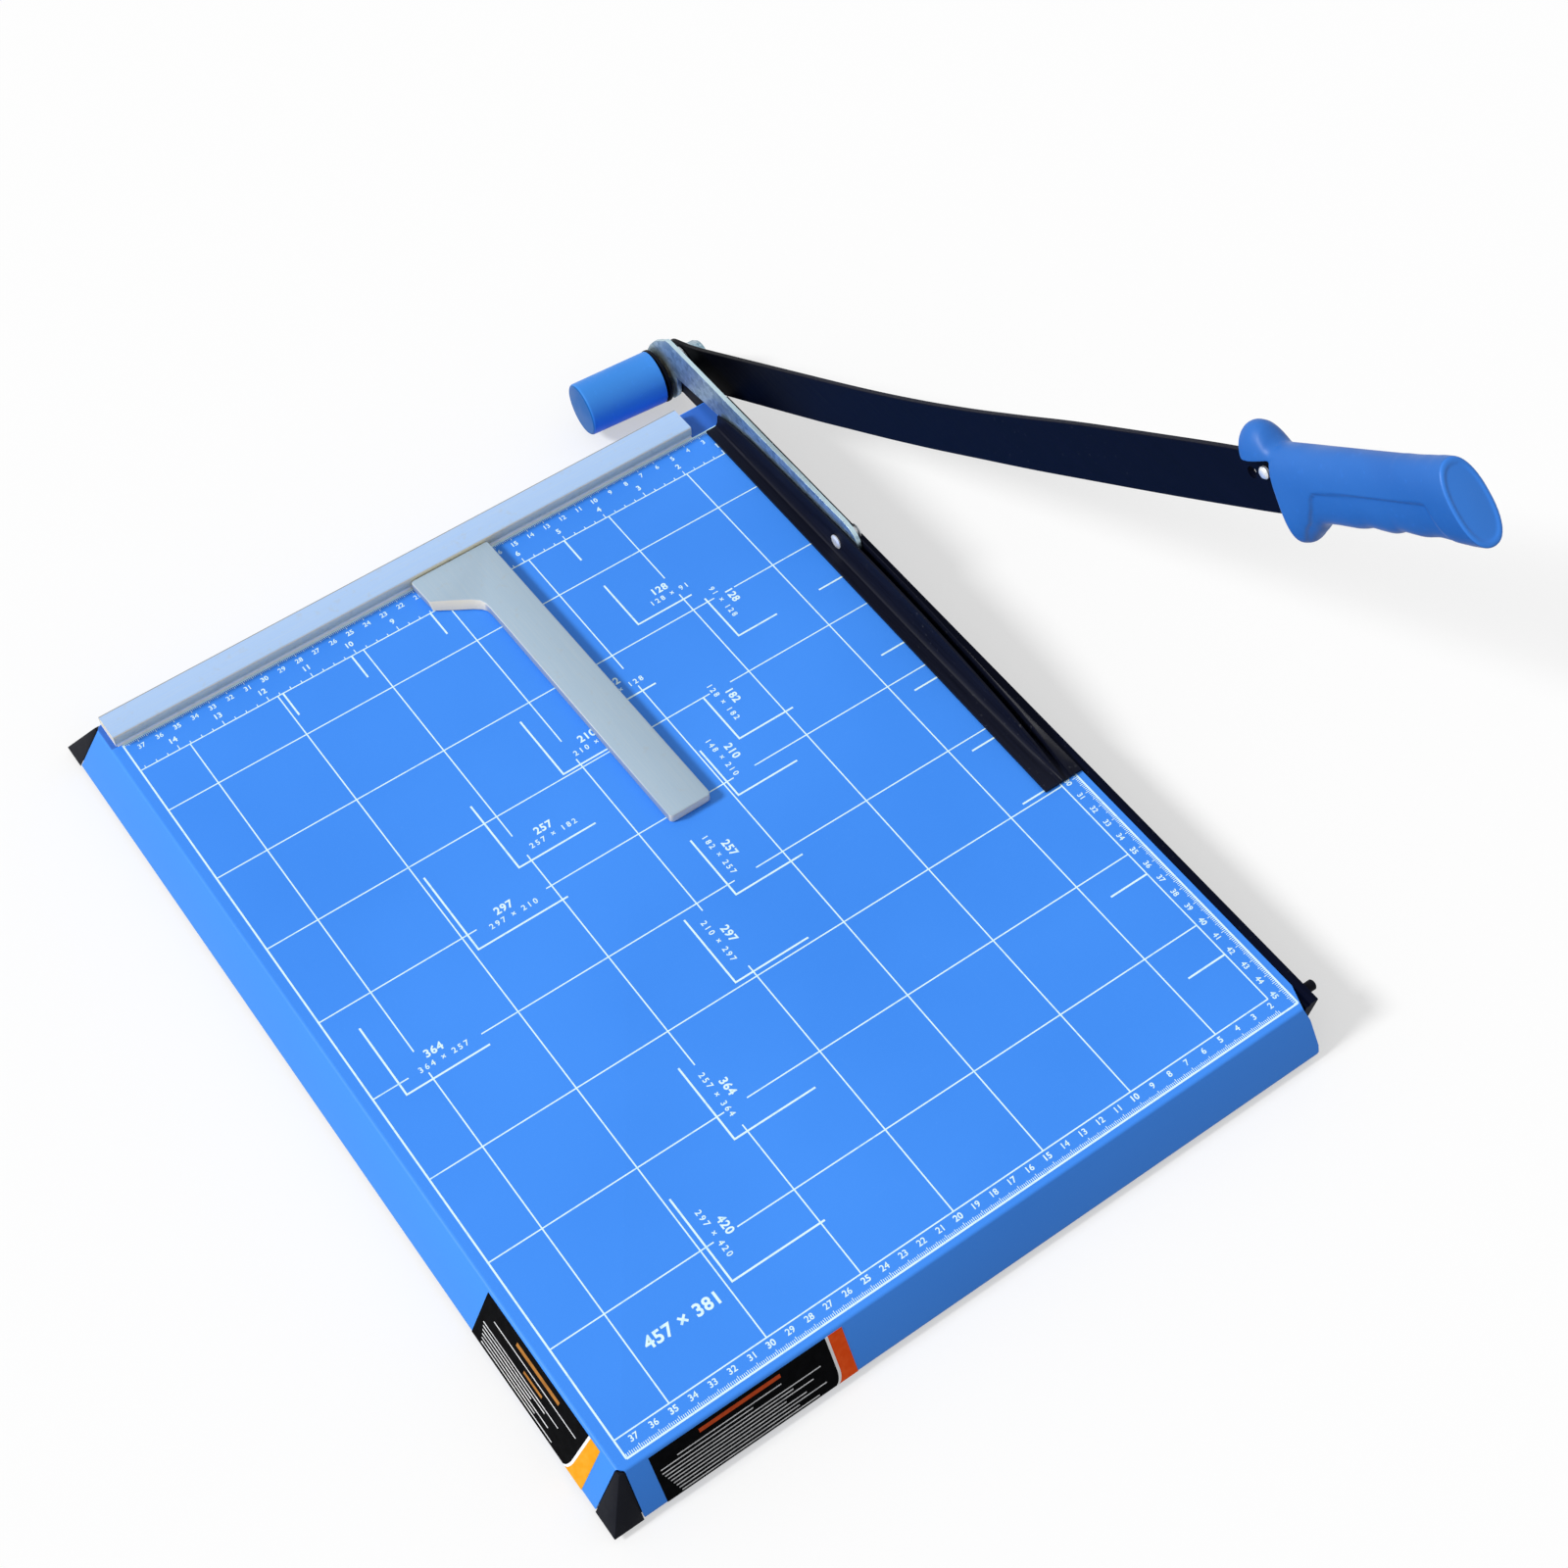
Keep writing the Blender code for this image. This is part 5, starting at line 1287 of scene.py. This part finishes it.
# Applies all modifiers of an object to its mesh
def settle(piece):
    graph = bpy.context.evaluated_depsgraph_get()
    graph.update()
    mesh = bpy.data.meshes.new_from_object(piece.evaluated_get(graph), depsgraph=graph)
    old = piece.data
    piece.modifiers.clear()
    piece.data = mesh
    bpy.data.meshes.remove(old)
    return piece


# A round bar along X for cutting a bore: circles of each radius at each place along it, out along the blade and up
def barAcross(profile, out, rise, steps=48):
    angle = np.linspace(0, 2 * np.pi, steps, endpoint=False)
    places, radii = np.array(profile).T
    y = np.cos(angle) * radii[:, None] - out
    z = np.sin(angle) * radii[:, None] + rise
    return closedRings(np.stack([np.broadcast_to(places[:, None], y.shape), y, z], -1))


# Takes one form away from a piece
def cutAway(piece, form):
    cut = piece.modifiers.new("cut", "BOOLEAN")
    cut.operation = "DIFFERENCE"
    cut.object = form
    cut.solver = "EXACT"
    settle(piece)
    bpy.data.objects.remove(form)


# Turns a mesh about the pivot and sets it in its place
def moveTo(piece, turn):
    setPoints(piece.data, aboutPivot(pointsOf(piece.data), turn))


# The grip and the hood are joined, remade in small cells so that they blend, smoothed, and slotted for the blade
def makeHandle():
    g = grip
    body = tempMesh("handleSkin", *closedRings(gripSurface()))
    cover = tempMesh("hoodForm", *closedRings(hoodSurface()))
    join = body.modifiers.new("join", "BOOLEAN")
    join.operation = "UNION"
    join.object = cover
    join.solver = "EXACT"
    remesh = body.modifiers.new("cells", "REMESH")
    remesh.mode = "VOXEL"
    remesh.voxel_size = g["cell"]
    ease = body.modifiers.new("ease", "SMOOTH")
    ease.factor, ease.iterations = g["ease"]
    settle(body)
    bpy.data.objects.remove(cover)
    front = g["start"] - hood["length"] - g["mouthAhead"]
    back = g["start"] + g["mouthBehind"]
    left, right, top = g["mouth"]
    foot = -g["drop"] - g["depth"] / 2 - g["mouthSpare"]
    slot = np.array([(x, -y, z) for x in (left, right)
                     for y, z in ((front, top), (front, foot), (back, foot), (back, top))])
    faces = [(0, 1, 2, 3), (7, 6, 5, 4), (0, 4, 5, 1), (1, 5, 6, 2), (2, 6, 7, 3), (3, 7, 4, 0)]
    cutAway(body, tempMesh("mouthForm", slot, faces))
    for share in g["screws"]:
        profile = [(g["boreEnd"], g["bore"]), (g["seat"], g["bore"]), (g["seat"], g["well"]), (g["width"], g["well"])]
        cutAway(body, tempMesh("wellForm", *barAcross(profile, g["start"] + g["length"] * share, -g["drop"])))
    mesh = body.data
    outward(mesh, g["merge"])
    moveTo(body, place["handleTurn"])
    smoothTo(mesh, g["sharp"])
    mesh.materials.clear()
    mesh.materials.append(looks["handlePlastic"])
    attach(body, "blade")
    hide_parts("handle")
    print("handle:", len(mesh.polygons), "faces")


makeHandle()


# the blade
bladeForm = {
    "left": 0.0004,          # its left face, right of the cutting edge
    "thick": 0.0030,
    "width": 0.0255,         # unit of the table's heights
    "length": 0.522,
    "shoulder": 0.5395,      # where the tang goes into the handle, with its top and its edge as shares of the width
    "shoulderTop": 1.067,
    "shoulderEdge": 0.110,
    "grind": 0.0060,         # height of the bevel, and the most that it takes of the blade
    "grindShare": 0.45,
    "edge": 0.00025,
    "soft": 0.00025,
    "least": 0.0006,         # height of the heel at its end
    "rows": 260,
    "sharp": 14,
}
# Out along the blade, its top and its cutting edge, the heel in shares of the width and the rest of the length
bladeTable = {
    "heel": [
        (-0.686, 0.02, -0.05), (-0.683, 0.10, -0.13), (-0.68, 0.19, -0.21), (-0.61, 0.35, -0.39), (-0.47, 0.43, -0.51),
        (-0.31, 0.455, -0.58), (0, 0.43, -0.61), (0.47, 0.39, -0.625),
    ],
    "edge": [
        (0.061, 0.376, -0.627), (0.192, 0.376, -0.627), (0.27, 0.376, -0.624), (0.339, 0.378, -0.604),
        (0.41, 0.392, -0.580), (0.49, 0.435, -0.535), (0.575, 0.518, -0.463), (0.66, 0.639, -0.388),
        (0.75, 0.785, -0.285), (0.862, 0.925, -0.150), (0.973, 1.047, 0.004), (1.006, 1.067, 0.055),
    ],
}


# The blade: at each station a section with a flat left face, eased top corners and a bevel ground on the right;
# top and edge are the smooth curves through the table
def bladeSurface():
    b = bladeForm
    width = b["width"]
    rows = [(width * o, width * t, width * e) for o, t, e in bladeTable["heel"]]
    rows += [(b["length"] * o, width * t, width * e) for o, t, e in bladeTable["edge"]]
    rows.append((b["shoulder"], width * b["shoulderTop"], width * b["shoulderEdge"]))
    table = np.array(rows)
    out = np.concatenate([table[:4, 0], np.linspace(table[4, 0], table[-1, 0], b["rows"])])
    top, low = through(table, out).T
    low = np.where(out < 0, np.minimum(low, top - b["least"]), low)
    left, right = b["left"], b["left"] + b["thick"]
    grind = np.minimum(b["grind"], (top - low) * b["grindShare"])
    soft = np.minimum(b["soft"], (top - low) * 0.2)
    section = [
        (left, top - soft), (left + soft, top), (right - soft, top), (right, top - soft), (right, low + grind),
        (left + b["edge"], low), (left, low + soft * 0.4),
    ]
    rings = [np.stack([np.broadcast_to(x, out.shape), -out, z], -1) for x, z in section]
    return np.stack(rings, 1)


# Bores of the pivot, the stud and the open hole beside it: radius, how far out, how far up, and whose turn they take
bladeBores = [
    (0.0053, 0.0, 0.0, "bladeTurn"),
    (0.0023, grip["start"] - hood["length"] * 0.55, 0.0038 - grip["drop"], "handleTurn"),
    (0.0027, grip["start"] - hood["length"] * 1.03, 0.0027 - grip["drop"], "handleTurn"),
]
boreReach = (-0.004, 0.008)


# The blade is turned to its place and bored, and faces that look right and down take the ground finish
def makeBlade():
    body = tempMesh("bladeSkin", *closedRings(bladeSurface()))
    moveTo(body, place["bladeTurn"])
    for radius, out, rise, turnKey in bladeBores:
        turn = place[turnKey]
        bar = tempMesh("boreForm", *barAcross([(reach, radius) for reach in boreReach], out, rise))
        moveTo(bar, turn)
        cutAway(body, bar)
    mesh = body.data
    mesh.materials.clear()
    mesh.materials.append(looks["bladeBlack"])
    mesh.materials.append(looks["groundSteel"])
    normals = np.empty(len(mesh.polygons) * 3)
    mesh.polygons.foreach_get("normal", normals)
    angle = math.radians(place["bladeTurn"])
    across, y, z = normals.reshape(-1, 3).T
    down = -(z * math.cos(angle) - y * math.sin(angle))
    ground = ((across > 0.3) & (down > 0.2)).astype(np.int32)
    mesh.polygons.foreach_set("material_index", ground)
    smoothTo(mesh, bladeForm["sharp"])
    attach(body, "blade")
    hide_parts("blade")
    print("blade:", len(mesh.polygons), "faces,", int(ground.sum()), "of them ground")


makeBlade()


# the screws, and the small heads of the stud and the bolt
crossLook = {"reach": 0.30, "arm": 0.075, "above": 0.1, "depth": 0.24, "taper": 0.7}
# Round pieces whose rims are drawn in: from which radius on, and to which share
narrowed = {
    "blade_stud": (0.0025, 0.72),
    "flange_washer": (0.0125, 0.953),
    "pivot_bolt": (0.0056, 0.82),
    "pivot_washer": (0.0056, 0.82),
}


# Takes a tapering cross out of a screw's head, sized by the head; axis 0 is a head on the right, 2 one below
def crossHead(piece, axis):
    points = pointsOf(piece.data)
    low, high = points.min(0), points.max(0)
    size = (high - low)[1]
    r, w = crossLook["reach"] * size, crossLook["arm"] * size
    plus = np.array([(r, -w), (r, w), (w, w), (w, r), (-w, r), (-w, w),
                     (-r, w), (-r, -w), (-w, -w), (-w, -r), (w, -r), (w, -w)])
    middle = (low + high) / 2
    face, inward = (high[0], -1) if axis == 0 else (low[2], 1)
    rings = []
    for deep, scale in ((-crossLook["above"], 1.0), (crossLook["depth"], crossLook["taper"])):
        flat = plus * scale
        level = np.full(len(flat), face + inward * deep * size)
        if axis == 0:
            rings.append(np.stack([level, middle[1] + flat[:, 0], middle[2] + flat[:, 1]], -1))
        else:
            rings.append(np.stack([middle[0] + flat[:, 0], middle[1] + flat[:, 1], level], -1))
    cutAway(piece, tempMesh("crossForm", *closedRings(np.stack(rings))))


# Draws the rim of a round piece in towards its axis, past a radius
def narrow(piece, past, share):
    points = pointsOf(piece.data)
    middle = (points.min(0) + points.max(0))[1:] / 2
    away = np.hypot(*(points[:, 1:] - middle).T)
    wide = away > past
    points[wide, 1:] = middle + (points[wide, 1:] - middle) * share
    setPoints(piece.data, points)


for node in ("handle_screw_1", "handle_screw_2", "knife_screw_1", "knife_screw_2", "knife_screw_3", "knife_screw_4"):
    crossHead(skins[node], 0)
for node in ("fence_screw_left", "fence_screw_right"):
    crossHead(skins[node], 2)
for node, (past, share) in narrowed.items():
    narrow(skins[node], past, share)
print("screw heads crossed, rims drawn in:", len(narrowed))


# the cap over the spring
capForm = {
    "rim": 0.1724,           # where its mouth is, along X
    "length": 0.0467,
    "radius": 0.0152,
    "wall": 0.0022,
    "round": 0.0018,         # of the end's corner
    "lip": 0.0004,           # of the mouth's edge
    "draft": 0.00025,        # how much narrower the end is
    "dome": 0.0003,
    "domeShare": 0.96,       # how far out the end face's rings reach before the corner
    "tilt": -4.26,           # degrees about Z
    "open": 0.0004,          # radius that is left at the axis and closed by a small face
    "around": 128,
    "steps": 10,
    "sideSteps": 16,
    "sharp": 50,
}


# The cap: a profile of radius against depth turned round its axis, outside from the middle of the end face to the
# rim, then inside back to the floor; the corners are quarter circles and the wall tapers a little to the end
def makeCap():
    c = capForm
    radius, bend, lip, draft = c["radius"], c["round"], c["lip"], c["draft"]
    quarter = np.linspace(0, np.pi / 2, c["steps"])
    end = -c["length"]
    flat = radius - draft - bend
    radii = np.linspace(c["open"], flat * c["domeShare"], c["steps"])
    face = [(end + c["dome"] * (r / flat) ** 2, r) for r in radii]
    corner = [(end + bend * (1 - math.cos(q)) + c["dome"] * (1 - math.sin(q)), flat + bend * math.sin(q))
              for q in quarter]
    side = [(x, radius + draft * x / c["length"]) for x in np.linspace(end + bend * 1.4, -lip * 1.5, c["sideSteps"])]
    edge = [(-lip * (1 - math.sin(q)), radius - lip * (1 - math.cos(q))) for q in quarter]
    mouth = [(0.0, radius - c["wall"] + lip), (-lip, radius - c["wall"])]
    inside = radius - c["wall"] - draft
    floor = end + c["wall"]
    well = [(floor + lip * 2, inside), (floor + lip * 0.6, inside - lip * 0.6), (floor, inside - lip * 2)]
    profile = np.array(face + corner + side + edge + mouth + well + [(floor, inside * 0.5), (floor, c["open"])])
    angle = np.linspace(0, 2 * np.pi, c["around"], endpoint=False)[None, :]
    along = np.broadcast_to(profile[:, :1], (len(profile), c["around"]))
    y, z = profile[:, 1:] * np.cos(angle), profile[:, 1:] * np.sin(angle)
    tilt = math.radians(c["tilt"])
    rings = np.stack([
        c["rim"] + along * math.cos(tilt) - y * math.sin(tilt),
        place["pivot"][1] + along * math.sin(tilt) + y * math.cos(tilt),
        place["pivot"][2] + z,
    ], -1)
    points, faces = closedRings(rings)
    piece = addPiece("capSkin", points, faces, "capPlastic", "board", "moulded_blue")
    outward(piece.data)
    piece.data.set_sharp_from_angle(angle=math.radians(c["sharp"]))
    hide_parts("pivot_cap")
    print("cap:", len(piece.data.polygons), "faces")


makeCap()
